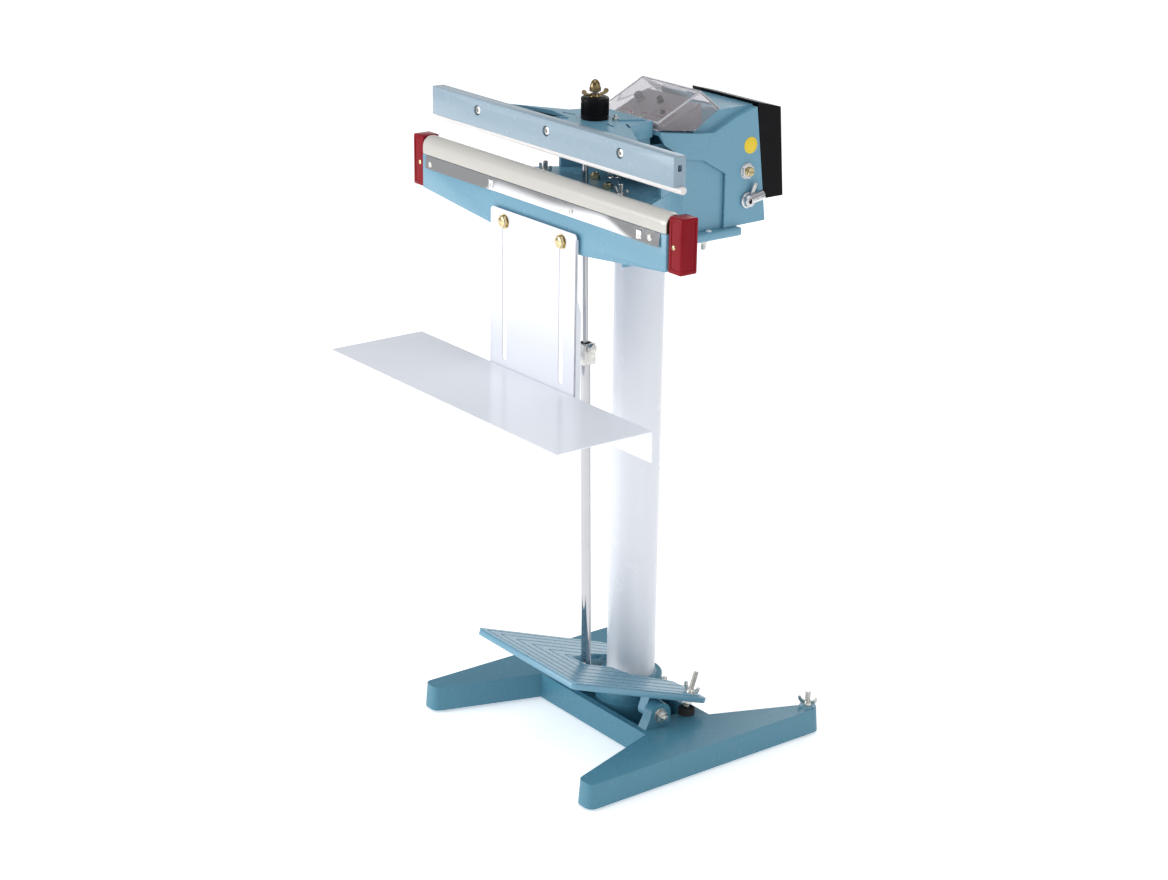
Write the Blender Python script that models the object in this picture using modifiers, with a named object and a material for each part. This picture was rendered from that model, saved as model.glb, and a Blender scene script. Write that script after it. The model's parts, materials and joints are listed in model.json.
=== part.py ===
"""Foot-pedal impulse heat sealer on a column stand.

Metres, +Z up, X along the sealing jaw, the operator's side at -Y. Places are
given from the column's axis and a level just below the floor; the assembly
empty then centres the whole object's bounding box over the origin and stands
its feet on z = 0.
"""

import math

import bmesh
import bpy
from mathutils import Euler, Vector

GAP = 0.0003

# Stand
FLOOR_Z = 0.0095
FOOT_HEIGHT = 0.013
BASE_TOP = 0.0445
LEG_OUTER_X = 0.1755
LEG_FRONT_Y = -0.1973
LEG_REAR_Y = 0.1655
TOE_RADIUS = 0.009
CROSS_FRONT_Y = -0.0619
CROSS_REAR_Y = 0.0400
CHANNEL_FLOOR = 0.018
BOSS_RADIUS = 0.044
COLLAR_RADIUS = 0.040
COLLAR_TOP = 0.075
COLUMN_RADIUS = 0.0305
COLUMN_WALL = 0.003

# Pedal
PIVOT_Y = -0.0307
PIVOT_Z = 0.0583
PEDAL_TILT = math.radians(20)
PEDAL_FRONT_Y = -0.1664
PEDAL_FRONT_Z = 0.1349
PEDAL_HALF_WIDTH = 0.0998
PEDAL_LENGTH = 0.219
PEDAL_THICKNESS = 0.007
EAR_X = 0.0733
EAR_RADIUS = 0.0095
BRACKET_X = 0.0915
ROD_SLOT_ALONG = 0.0885
STOP_X = 0.090
STOP_ALONG = 0.200

# Pull rod, which leans forward towards the top
ROD_Y = -0.0715
ROD_Z = 0.115
ROD_LEAN = 0.0209
LOWER_ROD_RADIUS = 0.006
UPPER_ROD_RADIUS = 0.0035
ROD_BOTTOM = 0.078
ROD_SPLICE = 0.505
ROD_TOP = 0.7505

# Head
FLANGE_BOTTOM = 0.640
FLANGE_TOP = 0.6505
DECK_Z = 0.712
WALL_TOP = 0.741
CASING_HALF_WIDTH = 0.060
CASING_WALL = 0.003
CROWN_HALF_WIDTH = 0.0513
COVER_HALF_WIDTH = 0.0542
PANEL_HALF_WIDTH = 0.049
PANEL_SLOPE = math.atan(0.3889)
HINGE_Y = 0.0715
HINGE_Z = 0.7948

# Lower jaw
JAW_HALF_LENGTH = 0.2345
JAW_FRONT_Y = -0.1534
JAW_REAR_Y = -0.128
JAW_TOP = 0.715
JAW_END_Z = 0.673
JAW_MIDDLE_Z = 0.658
JAW_MIDDLE_X = 0.0855
PAD_HALF_LENGTH = 0.2335
PAD_Y = -0.1418
PAD_Z = 0.724
CAP_INNER_X = 0.2355
CAP_OUTER_X = 0.2575

# Upper arm and bar
ARM_Y = 0.055
ARM_Z = 0.745
BAR_HALF_LENGTH = 0.230
BAR_FRONT_Y = -0.1415
BAR_REAR_Y = -0.125
BAR_BOTTOM = 0.7628
BAR_TOP = 0.797
BAR_SCREW_X = 0.136
STRIP_Y = -0.131
STRIP_Z = 0.7595
STRIP_RADIUS = 0.0045
ARM_TOP = 0.7895
STUD_Y = -0.0715

# Bag shelf
PLATE_FRONT_Y = -0.1589
PLATE_BACK_Y = -0.1573
PLATE_HALF_WIDTH = 0.0832
PLATE_TOP = 0.6825
PLATE_BOTTOM = 0.457
SLOT_X = 0.0553
BOLT_Z = 0.669
TRAY_HALF_WIDTH = 0.228
TRAY_FRONT_Y = -0.2925
TRAY_TOP = 0.4927
TRAY_LIP = 0.038
SHEET = 0.0015

REAR_COVER_BACK_Y = 0.1729
SHIFT_Y = -(TRAY_FRONT_Y + REAR_COVER_BACK_Y) / 2

MATERIALS = {
    "blue_paint": ((0.25, 0.47, 0.56), 0.35, 0.0),
    "column_paint": ((0.72, 0.74, 0.80), 0.3, 0.1),
    "sheet_paint": ((0.80, 0.81, 0.85), 0.35, 0.0),
    "black_plastic": ((0.02, 0.018, 0.02), 0.4, 0.0),
    "red_plastic": ((0.40, 0.02, 0.03), 0.25, 0.0),
    "clear_plastic": ((0.75, 0.75, 0.78), 0.08, 0.0),
    "panel": ((0.52, 0.48, 0.50), 0.4, 0.0),
    "grey_plastic": ((0.25, 0.25, 0.27), 0.4, 0.0),
    "chrome": ((0.85, 0.85, 0.88), 0.08, 1.0),
    "zinc": ((0.72, 0.71, 0.68), 0.3, 1.0),
    "yellow_zinc": ((0.78, 0.66, 0.33), 0.3, 1.0),
    "steel": ((0.50, 0.50, 0.52), 0.35, 1.0),
    "rubber": ((0.02, 0.02, 0.02), 0.8, 0.0),
    "silicone": ((0.86, 0.84, 0.82), 0.5, 0.0),
    "ptfe": ((0.84, 0.81, 0.76), 0.45, 0.0),
    "bakelite": ((0.14, 0.07, 0.03), 0.5, 0.0),
    "copper": ((0.60, 0.28, 0.12), 0.4, 1.0),
    "board": ((0.03, 0.18, 0.08), 0.5, 0.0),
}


# ---------------------------------------------------------------- helpers
def collection(name):
    made = bpy.data.collections.new(name)
    bpy.context.scene.collection.children.link(made)
    return made


def empty(name, at, parent=None):
    """A carrier for the pieces that move together, standing on their joint's axis."""
    made = bpy.data.objects.new(name, None)
    made.empty_display_size = 0.02
    PARTS.objects.link(made)
    made.parent = parent
    made.location = at
    return made


def own_material(name, key):
    color, roughness, metallic = MATERIALS[key]
    material = bpy.data.materials.new(name)
    material.use_nodes = True
    shader = material.node_tree.nodes["Principled BSDF"]
    shader.inputs["Base Color"].default_value = (*color, 1)
    shader.inputs["Roughness"].default_value = roughness
    shader.inputs["Metallic"].default_value = metallic
    material.diffuse_color = (*color, 1)
    return material


def place(obj, carrier, at, rotation=(0, 0, 0)):
    """Puts an object at a place measured from the column's axis and the floor."""
    origin = Vector() if carrier is ASSEMBLY else carrier.location
    obj.parent = carrier
    obj.location = Vector(at) - origin
    obj.rotation_euler = rotation


def finish(obj, material_key, carrier, at, rotation=(0, 0, 0), smooth=40):
    """Names the object's material and hangs it on its carrier; no material makes it a cutter."""
    if material_key is None:
        CUTTERS.objects.link(obj)
        obj.hide_render = True
        obj.display_type = "WIRE"
    else:
        PARTS.objects.link(obj)
        obj.data.materials.append(own_material(obj.name, material_key))
        obj.data.shade_smooth()
        obj.data.set_sharp_from_angle(angle=math.radians(smooth))
    place(obj, carrier, at, rotation)
    return obj


def mesh_object(name, bm):
    mesh = bpy.data.meshes.new(name)
    bm.normal_update()
    bm.to_mesh(mesh)
    bm.free()
    return bpy.data.objects.new(name, mesh)


def bevel(obj, width, segments=2, angle=40):
    made = obj.modifiers.new("edges", "BEVEL")
    made.width = width
    made.segments = segments
    made.limit_method = "ANGLE"
    made.angle_limit = math.radians(angle)
    return obj


def boolean(obj, other, operation):
    made = obj.modifiers.new(other.name, "BOOLEAN")
    made.operation = operation
    made.object = other
    made.solver = "EXACT"


def cut(obj, *others):
    for other in others:
        boolean(obj, other, "DIFFERENCE")


def join(obj, *others):
    for other in others:
        boolean(obj, other, "UNION")


def box(name, key, carrier, size, at, rotation=(0, 0, 0), edge=0, segments=2):
    bm = bmesh.new()
    bmesh.ops.create_cube(bm, size=1)
    bmesh.ops.scale(bm, vec=size, verts=bm.verts)
    obj = finish(mesh_object(name, bm), key, carrier, at, rotation)
    return bevel(obj, edge, segments) if edge else obj


def span(name, key, carrier, low, high, edge=0, segments=2):
    """A box from its lowest corner to its highest."""
    size = [b - a for a, b in zip(low, high)]
    at = [(a + b) / 2 for a, b in zip(low, high)]
    return box(name, key, carrier, size, at, edge=edge, segments=segments)


AXIS = {"X": (0, math.pi / 2, 0), "Y": (-math.pi / 2, 0, 0), "Z": (0, 0, 0)}


def rod(name, key, carrier, radius, length, at, axis="Z", sides=24, edge=0, rotation=None):
    bm = bmesh.new()
    bmesh.ops.create_cone(
        bm, cap_ends=True, segments=sides, radius1=radius, radius2=radius, depth=length
    )
    obj = finish(mesh_object(name, bm), key, carrier, at, rotation or AXIS[axis])
    return bevel(obj, edge, 1, 60) if edge else obj


def turned(name, key, carrier, profile, at, sides=24, closed=False, rotation=(0, 0, 0)):
    """A profile of (radius, height), down the outer side, turned about its own Z."""
    bm = bmesh.new()
    points = [bm.verts.new((radius, 0, height)) for radius, height in profile]
    pairs = list(zip(points, points[1:]))
    if closed:
        pairs.append((points[-1], points[0]))
    for pair in pairs:
        bm.edges.new(pair)
    obj = finish(mesh_object(name, bm), key, carrier, at, rotation)
    screw = obj.modifiers.new("turn", "SCREW")
    screw.axis = "Z"
    screw.angle = math.tau
    screw.steps = sides
    screw.render_steps = sides
    screw.use_merge_vertices = True
    screw.merge_threshold = 0.00001
    screw.use_smooth_shade = True
    return obj


PLANE = {
    "XY": (0, 0, 0),
    "XZ": (math.pi / 2, 0, 0),
    "YZ": (math.pi / 2, 0, math.pi / 2),
}


def slab(name, key, carrier, outline, thickness, at, plane="XY", holes=(), edge=0, rotation=None):
    """A flat outline given thickness evenly to both sides of its plane."""
    curve = bpy.data.curves.new(name, "CURVE")
    curve.dimensions = "2D"
    curve.fill_mode = "BOTH"
    curve.extrude = thickness / 2
    for loop in (outline, *holes):
        spline = curve.splines.new("POLY")
        spline.points.add(len(loop) - 1)
        for point, (a, b) in zip(spline.points, loop):
            point.co = (a, b, 0, 1)
        spline.use_cyclic_u = True
    drawn = bpy.data.objects.new(name + "_outline", curve)
    PARTS.objects.link(drawn)
    graph = bpy.context.evaluated_depsgraph_get()
    mesh = bpy.data.meshes.new_from_object(drawn.evaluated_get(graph))
    bpy.data.objects.remove(drawn)
    bm = bmesh.new()
    bm.from_mesh(mesh)
    bmesh.ops.remove_doubles(bm, verts=bm.verts, dist=0.00001)
    bm.to_mesh(mesh)
    bm.free()
    obj = bpy.data.objects.new(name, mesh)
    finish(obj, key, carrier, at, rotation or PLANE[plane])
    return bevel(obj, edge, 2) if edge else obj


def wire(name, key, carrier, radius, points, at):
    curve = bpy.data.curves.new(name, "CURVE")
    curve.dimensions = "3D"
    curve.bevel_depth = radius
    curve.bevel_resolution = 1
    curve.use_fill_caps = True
    curve.render_resolution_u = 0
    spline = curve.splines.new("POLY")
    spline.points.add(len(points) - 1)
    for point, co in zip(spline.points, points):
        point.co = (*co, 1)
    obj = bpy.data.objects.new(name, curve)
    PARTS.objects.link(obj)
    curve.materials.append(own_material(name, key))
    place(obj, carrier, at)
    return obj


def shell(name, key, carrier, profile, half_width, open_sides, wall):
    """A side profile of (y, z) across X, walled inwards, with the listed sides left open."""
    bm = bmesh.new()
    near = [bm.verts.new((-half_width, y, z)) for y, z in profile]
    far = [bm.verts.new((half_width, y, z)) for y, z in profile]
    bm.faces.new(near)
    bm.faces.new(list(reversed(far)))
    strips = []
    for i in range(len(profile)):
        j = (i + 1) % len(profile)
        strips.append(bm.faces.new((near[i], far[i], far[j], near[j])))
    bmesh.ops.recalc_face_normals(bm, faces=bm.faces)
    bmesh.ops.delete(bm, geom=[strips[i] for i in open_sides], context="FACES")
    obj = finish(mesh_object(name, bm), key, carrier, (0, 0, 0))
    solid = obj.modifiers.new("wall", "SOLIDIFY")
    solid.thickness = wall
    solid.offset = -1
    solid.use_even_offset = True
    return obj


def tapered(bottom, top, low, high):
    """A closed body lofted between two outlines with the same number of points."""
    bm = bmesh.new()
    lower = [bm.verts.new((x, y, low)) for x, y in bottom]
    upper = [bm.verts.new((x, y, high)) for x, y in top]
    bm.faces.new(list(reversed(lower)))
    bm.faces.new(upper)
    for i in range(len(bottom)):
        j = (i + 1) % len(bottom)
        bm.faces.new((lower[i], lower[j], upper[j], upper[i]))
    bmesh.ops.recalc_face_normals(bm, faces=bm.faces)
    return bm


def arc(center, radius, start, end, count):
    """Points round part of a circle, angles in degrees."""
    points = []
    for i in range(count + 1):
        angle = math.radians(start + (end - start) * i / count)
        points.append((center[0] + radius * math.cos(angle), center[1] + radius * math.sin(angle)))
    return points


def ring(center, radius, count=20):
    return arc(center, radius, 0, 360 * (count - 1) / count, count - 1)


def slot(center, half_width, low, high):
    """A round-ended slot along the outline's second axis."""
    top = arc((center, high - half_width), half_width, 0, 180, 8)
    return top + arc((center, low + half_width), half_width, 180, 360, 8)


def mirrored(half):
    """Completes an outline from its +X half, which begins and ends at the plane of symmetry."""
    return half + [(-x, y) for x, y in reversed(half) if abs(x) > 0.000001]


def inset(outline, distance):
    """The outline, counter-clockwise, moved inwards by a distance at every side."""
    count = len(outline)
    moved = []
    for i in range(count):
        here = Vector(outline[i])
        before = (here - Vector(outline[i - 1])).normalized()
        after = (Vector(outline[(i + 1) % count]) - here).normalized()
        normal = Vector((-before.y - after.y, before.x + after.x)).normalized()
        stretch = max(0.5, normal.dot(Vector((-before.y, before.x))))
        moved.append(tuple(here + normal * distance / stretch))
    return moved


def hex_bolt(name, key, carrier, at, rotation, head, height, shank, length):
    """A hexagon head standing on its own XY plane with its shank below it."""
    turn = Euler(rotation).to_matrix()
    body = rod(
        name, key, carrier, head, height, Vector(at) + turn @ Vector((0, 0, height / 2)),
        sides=6, edge=height * 0.12, rotation=rotation,
    )
    stem = rod(
        name + "_shank", None, carrier, shank, length + 0.001,
        Vector(at) + turn @ Vector((0, 0, (0.001 - length) / 2)), sides=12, rotation=rotation,
    )
    join(body, stem)
    return body


def wing_nut(name, key, carrier, at, rotation, reach, height, stem_up, stem_down, radius=0.003):
    """A hub with two swept wings on a threaded stem."""
    turn = Euler(rotation).to_matrix()
    hub_radius = reach * 0.42
    body = turned(
        name, key, carrier,
        [(0, height * 0.55), (hub_radius * 0.75, height * 0.55), (hub_radius, 0), (0, 0)],
        at, sides=12, rotation=rotation,
    )
    half = [
        (0.5 * reach, 0.12 * height), (0.95 * reach, 0.55 * height),
        (reach, 0.85 * height), (0.86 * reach, height), (0.66 * reach, 0.85 * height),
        (0.3 * reach, 0.45 * height),
    ]
    lean = (turn @ Euler(PLANE["XZ"]).to_matrix()).to_euler()
    wings = slab(name + "_wings", None, carrier, mirrored(half), 0.0024, at, rotation=lean)
    stem = rod(
        name + "_stem", None, carrier, radius, stem_up + stem_down,
        Vector(at) + turn @ Vector((0, 0, (stem_up - stem_down) / 2)), sides=10, rotation=rotation,
    )
    join(body, wings, stem)
    return body


# ---------------------------------------------------------------- stand
def leg_outline():
    """The H of the two legs and the cross-bar, from the front middle round to the back."""
    front = (LEG_OUTER_X - TOE_RADIUS, LEG_FRONT_Y + TOE_RADIUS)
    inner = (LEG_OUTER_X - 0.019, LEG_FRONT_Y + TOE_RADIUS)
    rear = (LEG_OUTER_X - TOE_RADIUS, LEG_REAR_Y - TOE_RADIUS)
    half = [(0.1065, CROSS_FRONT_Y)]
    half += arc(inner, TOE_RADIUS, 195, 270, 3)
    half += arc(front, TOE_RADIUS, 270, 360, 4)
    half += arc(rear, TOE_RADIUS, 0, 160, 6)
    half += [(0.1085, CROSS_REAR_Y)]
    return mirrored(half)


def make_base():
    outline = leg_outline()
    draft = 0.0022
    bm = tapered(inset(outline, -draft / 2), inset(outline, draft / 2), FOOT_HEIGHT, BASE_TOP)
    base = finish(mesh_object("base_casting", bm), "blue_paint", ASSEMBLY, (0, 0, 0))
    channel = span(
        "channel", None, ASSEMBLY,
        (-0.084, CROSS_FRONT_Y + 0.010, CHANNEL_FLOOR), (0.084, CROSS_REAR_Y - 0.010, 0.09),
    )
    cut(base, channel)
    for side in (-1, 1):
        pocket = [
            (side * 0.166, -0.150), (side * 0.166, 0.125),
            (side * 0.118, 0.030), (side * 0.118, -0.055),
        ]
        cut(base, slab(f"pocket_{side}", None, ASSEMBLY, pocket, 0.050, (0, 0, 0.0125)))
        profile = [(0.0162, 0.002 - PIVOT_Z + BASE_TOP - 0.006)]
        profile += arc((0, 0), 0.0162, 0, 180, 10)
        profile += [(-0.0255, BASE_TOP - PIVOT_Z - 0.004)]
        bracket = slab(
            f"bracket_{side}", None, ASSEMBLY, profile, 0.015,
            (side * BRACKET_X, PIVOT_Y, PIVOT_Z), "YZ",
        )
        join(base, bracket)
        hole = rod(
            f"bracket_hole_{side}", None, ASSEMBLY, 0.0043, 0.030,
            (side * BRACKET_X, PIVOT_Y, PIVOT_Z), "X", 12,
        )
        cut(base, hole)
    socket = turned(
        "socket", None, ASSEMBLY,
        [
            (0, COLLAR_TOP), (COLLAR_RADIUS - 0.002, COLLAR_TOP), (COLLAR_RADIUS, COLLAR_TOP - 0.002),
            (COLLAR_RADIUS, BASE_TOP + 0.001), (BOSS_RADIUS, BASE_TOP), (BOSS_RADIUS + 0.001, 0.0145),
            (0, 0.0145),
        ],
        (0, 0, 0), sides=36,
    )
    join(base, socket)
    bore = rod("bore", None, ASSEMBLY, COLUMN_RADIUS + GAP, 0.2, (0, 0, 0.120), sides=32)
    screw_hole = rod(
        "set_screw_hole", None, ASSEMBLY, 0.0037, 0.030, (0.030, 0.030, 0.062),
        sides=12, rotation=(0, math.pi / 2, math.radians(45)),
    )
    cut(base, bore, screw_hole)


def make_stand():
    make_base()
    places = {
        "front_left": (-1, LEG_FRONT_Y + 0.022), "front_right": (1, LEG_FRONT_Y + 0.022),
        "rear_left": (-1, LEG_REAR_Y - 0.022), "rear_right": (1, LEG_REAR_Y - 0.022),
    }
    for where, (side, y) in places.items():
        turned(
            f"foot_{where}", "rubber", ASSEMBLY,
            [
                (0, FOOT_HEIGHT - GAP), (0.0108, FOOT_HEIGHT - GAP), (0.0112, FLOOR_Z + 0.001),
                (0.0106, FLOOR_Z), (0, FLOOR_Z),
            ],
            (side * 0.161, y, 0), sides=20,
        )
    turned(
        "column_tube", "column_paint", ASSEMBLY,
        [
            (COLUMN_RADIUS, FLANGE_BOTTOM - GAP), (COLUMN_RADIUS, 0.0203),
            (COLUMN_RADIUS - COLUMN_WALL, 0.0203), (COLUMN_RADIUS - COLUMN_WALL, FLANGE_BOTTOM - GAP),
        ],
        (0, 0, 0), sides=40, closed=True,
    )
    hex_bolt(
        "column_set_screw", "zinc", ASSEMBLY,
        (0.0288, 0.0288, 0.062), (0, math.pi / 2, math.radians(45)),
        0.0065, 0.006, 0.0033, 0.0085,
    )
    for side, word in ((-1, "left"), (1, "right")):
        wing_nut(
            f"toe_wing_bolt_{word}", "zinc", ASSEMBLY,
            (side * 0.161, LEG_REAR_Y - 0.0085, BASE_TOP + GAP), (0, 0, math.radians(35)),
            0.0105, 0.010, 0.019, 0.0,
        )
        hex_bolt(
            f"pivot_bolt_{word}", "zinc", ASSEMBLY,
            (side * 0.0994, PIVOT_Y, PIVOT_Z), (0, side * math.pi / 2, 0),
            0.0078, 0.0055, 0.0038, 0.033,
        )
    pad = 0.0078
    rod("stop_pad", "rubber", ASSEMBLY, 0.0105, pad, (STOP_X, 0.0182, BASE_TOP + GAP + pad / 2), edge=0.001)


# ---------------------------------------------------------------- pedal
def on_pedal(x, along, above):
    """A place on the tilted treadle: across, back from its front edge, above its middle plane."""
    tilt = Euler((-PEDAL_TILT, 0, 0)).to_matrix()
    return Vector((0, PEDAL_FRONT_Y, PEDAL_FRONT_Z)) + tilt @ Vector((x, along, above))


def make_pedal():
    tilt = (-PEDAL_TILT, 0, 0)
    reach = Vector((0, PIVOT_Y - PEDAL_FRONT_Y, PIVOT_Z - PEDAL_FRONT_Z))
    pivot_along = reach.dot(Euler(tilt).to_matrix() @ Vector((0, 1, 0)))
    pivot_above = reach.dot(Euler(tilt).to_matrix() @ Vector((0, 0, 1)))
    notch_center = -PEDAL_FRONT_Y / math.cos(PEDAL_TILT)
    corner = 0.006
    half = arc((PEDAL_HALF_WIDTH - corner, corner), corner, 270, 360, 4)
    half += [(0.1030, PEDAL_LENGTH - 0.006), (0.1010, PEDAL_LENGTH), (0.057, PEDAL_LENGTH + 0.001)]
    half += [(0.044, notch_center + 0.010)]
    half += arc((0, notch_center), 0.044, 0, -90, 9)
    treadle = slab(
        "pedal", "blue_paint", PEDAL, mirrored(half), PEDAL_THICKNESS, on_pedal(0, 0, 0),
        rotation=tilt, edge=0.0012,
    )
    keyhole = [
        (-0.010, ROD_SLOT_ALONG), (0.009, ROD_SLOT_ALONG), (0.011, 0.140), (0.020, 0.150),
        (-0.046, 0.160), (-0.040, 0.140),
    ]
    cut(treadle, slab("keyhole", None, PEDAL, keyhole, 0.030, on_pedal(0, 0, 0), rotation=tilt))
    for side in (-1, 1):
        profile = arc((pivot_along, pivot_above), EAR_RADIUS, 180, 360, 10)
        profile += [(pivot_along + EAR_RADIUS, -0.0015), (pivot_along - EAR_RADIUS, -0.0015)]
        turn = (Euler(tilt).to_matrix() @ Euler(PLANE["YZ"]).to_matrix()).to_euler()
        ear = slab(
            f"ear_{side}", None, PEDAL, profile, 0.0145, on_pedal(side * EAR_X, 0, 0), rotation=turn
        )
        join(treadle, ear)
        centre = (side * EAR_X, PIVOT_Y, PIVOT_Z)
        cut(treadle, rod(f"ear_hole_{side}", None, PEDAL, 0.0043, 0.03, centre, "X", 12))
    stop = on_pedal(STOP_X, STOP_ALONG, 0)
    cut(treadle, rod("stop_hole", None, PEDAL, 0.0033, 0.03, stop, sides=10, rotation=tilt))
    rod(
        "stop_bolt", "zinc", PEDAL, 0.0028, 0.0465, on_pedal(STOP_X, STOP_ALONG, 0.0097),
        sides=12, rotation=tilt, edge=0.0005,
    )
    nut = wing_nut(
        "stop_wing_nut", "zinc", PEDAL, on_pedal(STOP_X, STOP_ALONG, PEDAL_THICKNESS / 2 + GAP),
        tilt, 0.0115, 0.011, 0.001, -0.0005, radius=0.002,
    )
    middle = on_pedal(STOP_X, STOP_ALONG, 0.01)
    cut(nut, rod("nut_thread", None, PEDAL, 0.0031, 0.06, middle, sides=10, rotation=tilt))


# ---------------------------------------------------------------- pull rod
def on_rod(z):
    return Vector((0, ROD_Y - ROD_LEAN * (z - ROD_Z), z))


def make_rod():
    lean = (math.atan(ROD_LEAN), 0, 0)
    low = Vector(on_rod(ROD_BOTTOM))
    length = ROD_SPLICE - ROD_BOTTOM
    turned(
        "lower_rod", "chrome", ROD,
        [
            (LOWER_ROD_RADIUS, length), (LOWER_ROD_RADIUS, 0),
            (UPPER_ROD_RADIUS + 0.0007, 0), (UPPER_ROD_RADIUS + 0.0007, length),
        ],
        low, sides=20, closed=True, rotation=lean,
    )
    foot = 0.440
    rod(
        "upper_rod", "chrome", ROD, UPPER_ROD_RADIUS, (ROD_TOP - foot) * 1.0002,
        on_rod((foot + ROD_TOP) / 2), sides=16, rotation=lean,
    )
    clamp_z = 0.509
    clamp = box("rod_clamp", "zinc", ROD, (0.019, 0.017, 0.026), on_rod(clamp_z), lean, 0.0015)
    bolt = on_rod(clamp_z + 0.008)
    bore = LOWER_ROD_RADIUS + GAP
    cut(
        clamp,
        rod("clamp_bore", None, ROD, bore, 0.06, on_rod(clamp_z), sides=20, rotation=lean),
        rod("clamp_thread", None, ROD, 0.0031, 0.03, bolt + Vector((0.015, 0, 0)), "X", 12),
    )
    hex_bolt(
        "clamp_bolt", "zinc", ROD, bolt + Vector((0.0099, 0, 0)),
        (0, math.pi / 2, 0), 0.0062, 0.006, 0.0027, 0.0035,
    )
    end = on_rod(0.085)
    nut = rod("rod_end_nut", "zinc", ROD, 0.0095, 0.010, end, sides=6, edge=0.0008, rotation=lean)
    cut(nut, rod("end_nut_thread", None, ROD, bore, 0.03, end, sides=20, rotation=lean))
    yoke_z = 0.745
    half = [(0.006, -0.0935), (0.0085, -0.088), (0.0085, -0.066), (0.005, -0.0625)]
    yoke = slab("rod_yoke", "zinc", ROD, mirrored(half), 0.006, (0, 0, yoke_z), edge=0.0008)
    cut(
        yoke,
        rod(
            "yoke_rod_hole", None, ROD, UPPER_ROD_RADIUS + GAP, 0.03, on_rod(yoke_z),
            sides=16, rotation=lean,
        ),
        rod("yoke_stud_hole", None, ROD, 0.0048, 0.03, (0, STUD_Y, yoke_z), sides=16),
    )


# ---------------------------------------------------------------- head
def make_frame():
    span(
        "mounting_flange", "blue_paint", ASSEMBLY,
        (-0.067, -0.040, FLANGE_BOTTOM), (0.067, 0.101, FLANGE_TOP), edge=0.0025,
    )
    half = [(0.130, -0.1277), (0.130, -0.105), (0.098, -0.050), (0.0555, 0.018), (0.0555, 0.084)]
    plan = mirrored(half)
    bm = tapered(plan, plan, FLANGE_TOP + GAP, DECK_Z)
    bm.faces.ensure_lookup_table()
    opened = [face for face in bm.faces if face.normal.z < -0.9 or face.normal.y < -0.9]
    bmesh.ops.delete(bm, geom=opened, context="FACES")
    frame = finish(mesh_object("head_frame", bm), "blue_paint", ASSEMBLY, (0, 0, 0))
    solid = frame.modifiers.new("wall", "SOLIDIFY")
    solid.thickness = 0.004
    solid.offset = -1
    solid.use_even_offset = True
    height = WALL_TOP - DECK_Z + 0.002
    for side in (-1, 1):
        wall = [
            (side * 0.0555, 0.083), (side * 0.0555, 0.018), (side * 0.097, -0.0495),
            (side * 0.0925, -0.0495), (side * 0.0515, 0.017), (side * 0.0515, 0.083),
        ]
        top = (0, 0, WALL_TOP - height / 2)
        join(frame, slab(f"wall_{side}", None, ASSEMBLY, wall, height, top))
        lug = [(-0.010, -0.036), (0.010, -0.036)] + arc((0, 0), 0.010, 0, 180, 8)
        lug_at = (side * 0.0505, ARM_Y, ARM_Z)
        join(frame, slab(f"lug_{side}", None, ASSEMBLY, lug, 0.0065, lug_at, "YZ"))
    cut(
        frame,
        rod("shaft_bore", None, ASSEMBLY, 0.0053, 0.14, (0, ARM_Y, ARM_Z), "X", 16),
        rod("rod_hole", None, ASSEMBLY, 0.0095, 0.02, on_rod(DECK_Z), sides=20),
    )
    rod("arm_pivot_shaft", "steel", ASSEMBLY, 0.005, 0.1115, (0, ARM_Y, ARM_Z), "X", 16, edge=0.0006)
    wing_nut(
        "jaw_wing_nut", "zinc", ASSEMBLY, (-0.072, -0.088, DECK_Z + GAP), (0, 0, 0),
        0.012, 0.012, 0.016, 0.0,
    )
    switch = span(
        "microswitch", "black_plastic", ASSEMBLY, (0.020, -0.012, DECK_Z + GAP), (0.030, 0.016, 0.728)
    )
    lever = span("switch_lever", None, ASSEMBLY, (0.0235, -0.014, 0.727), (0.0265, 0.010, 0.7295))
    join(switch, lever)


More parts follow.
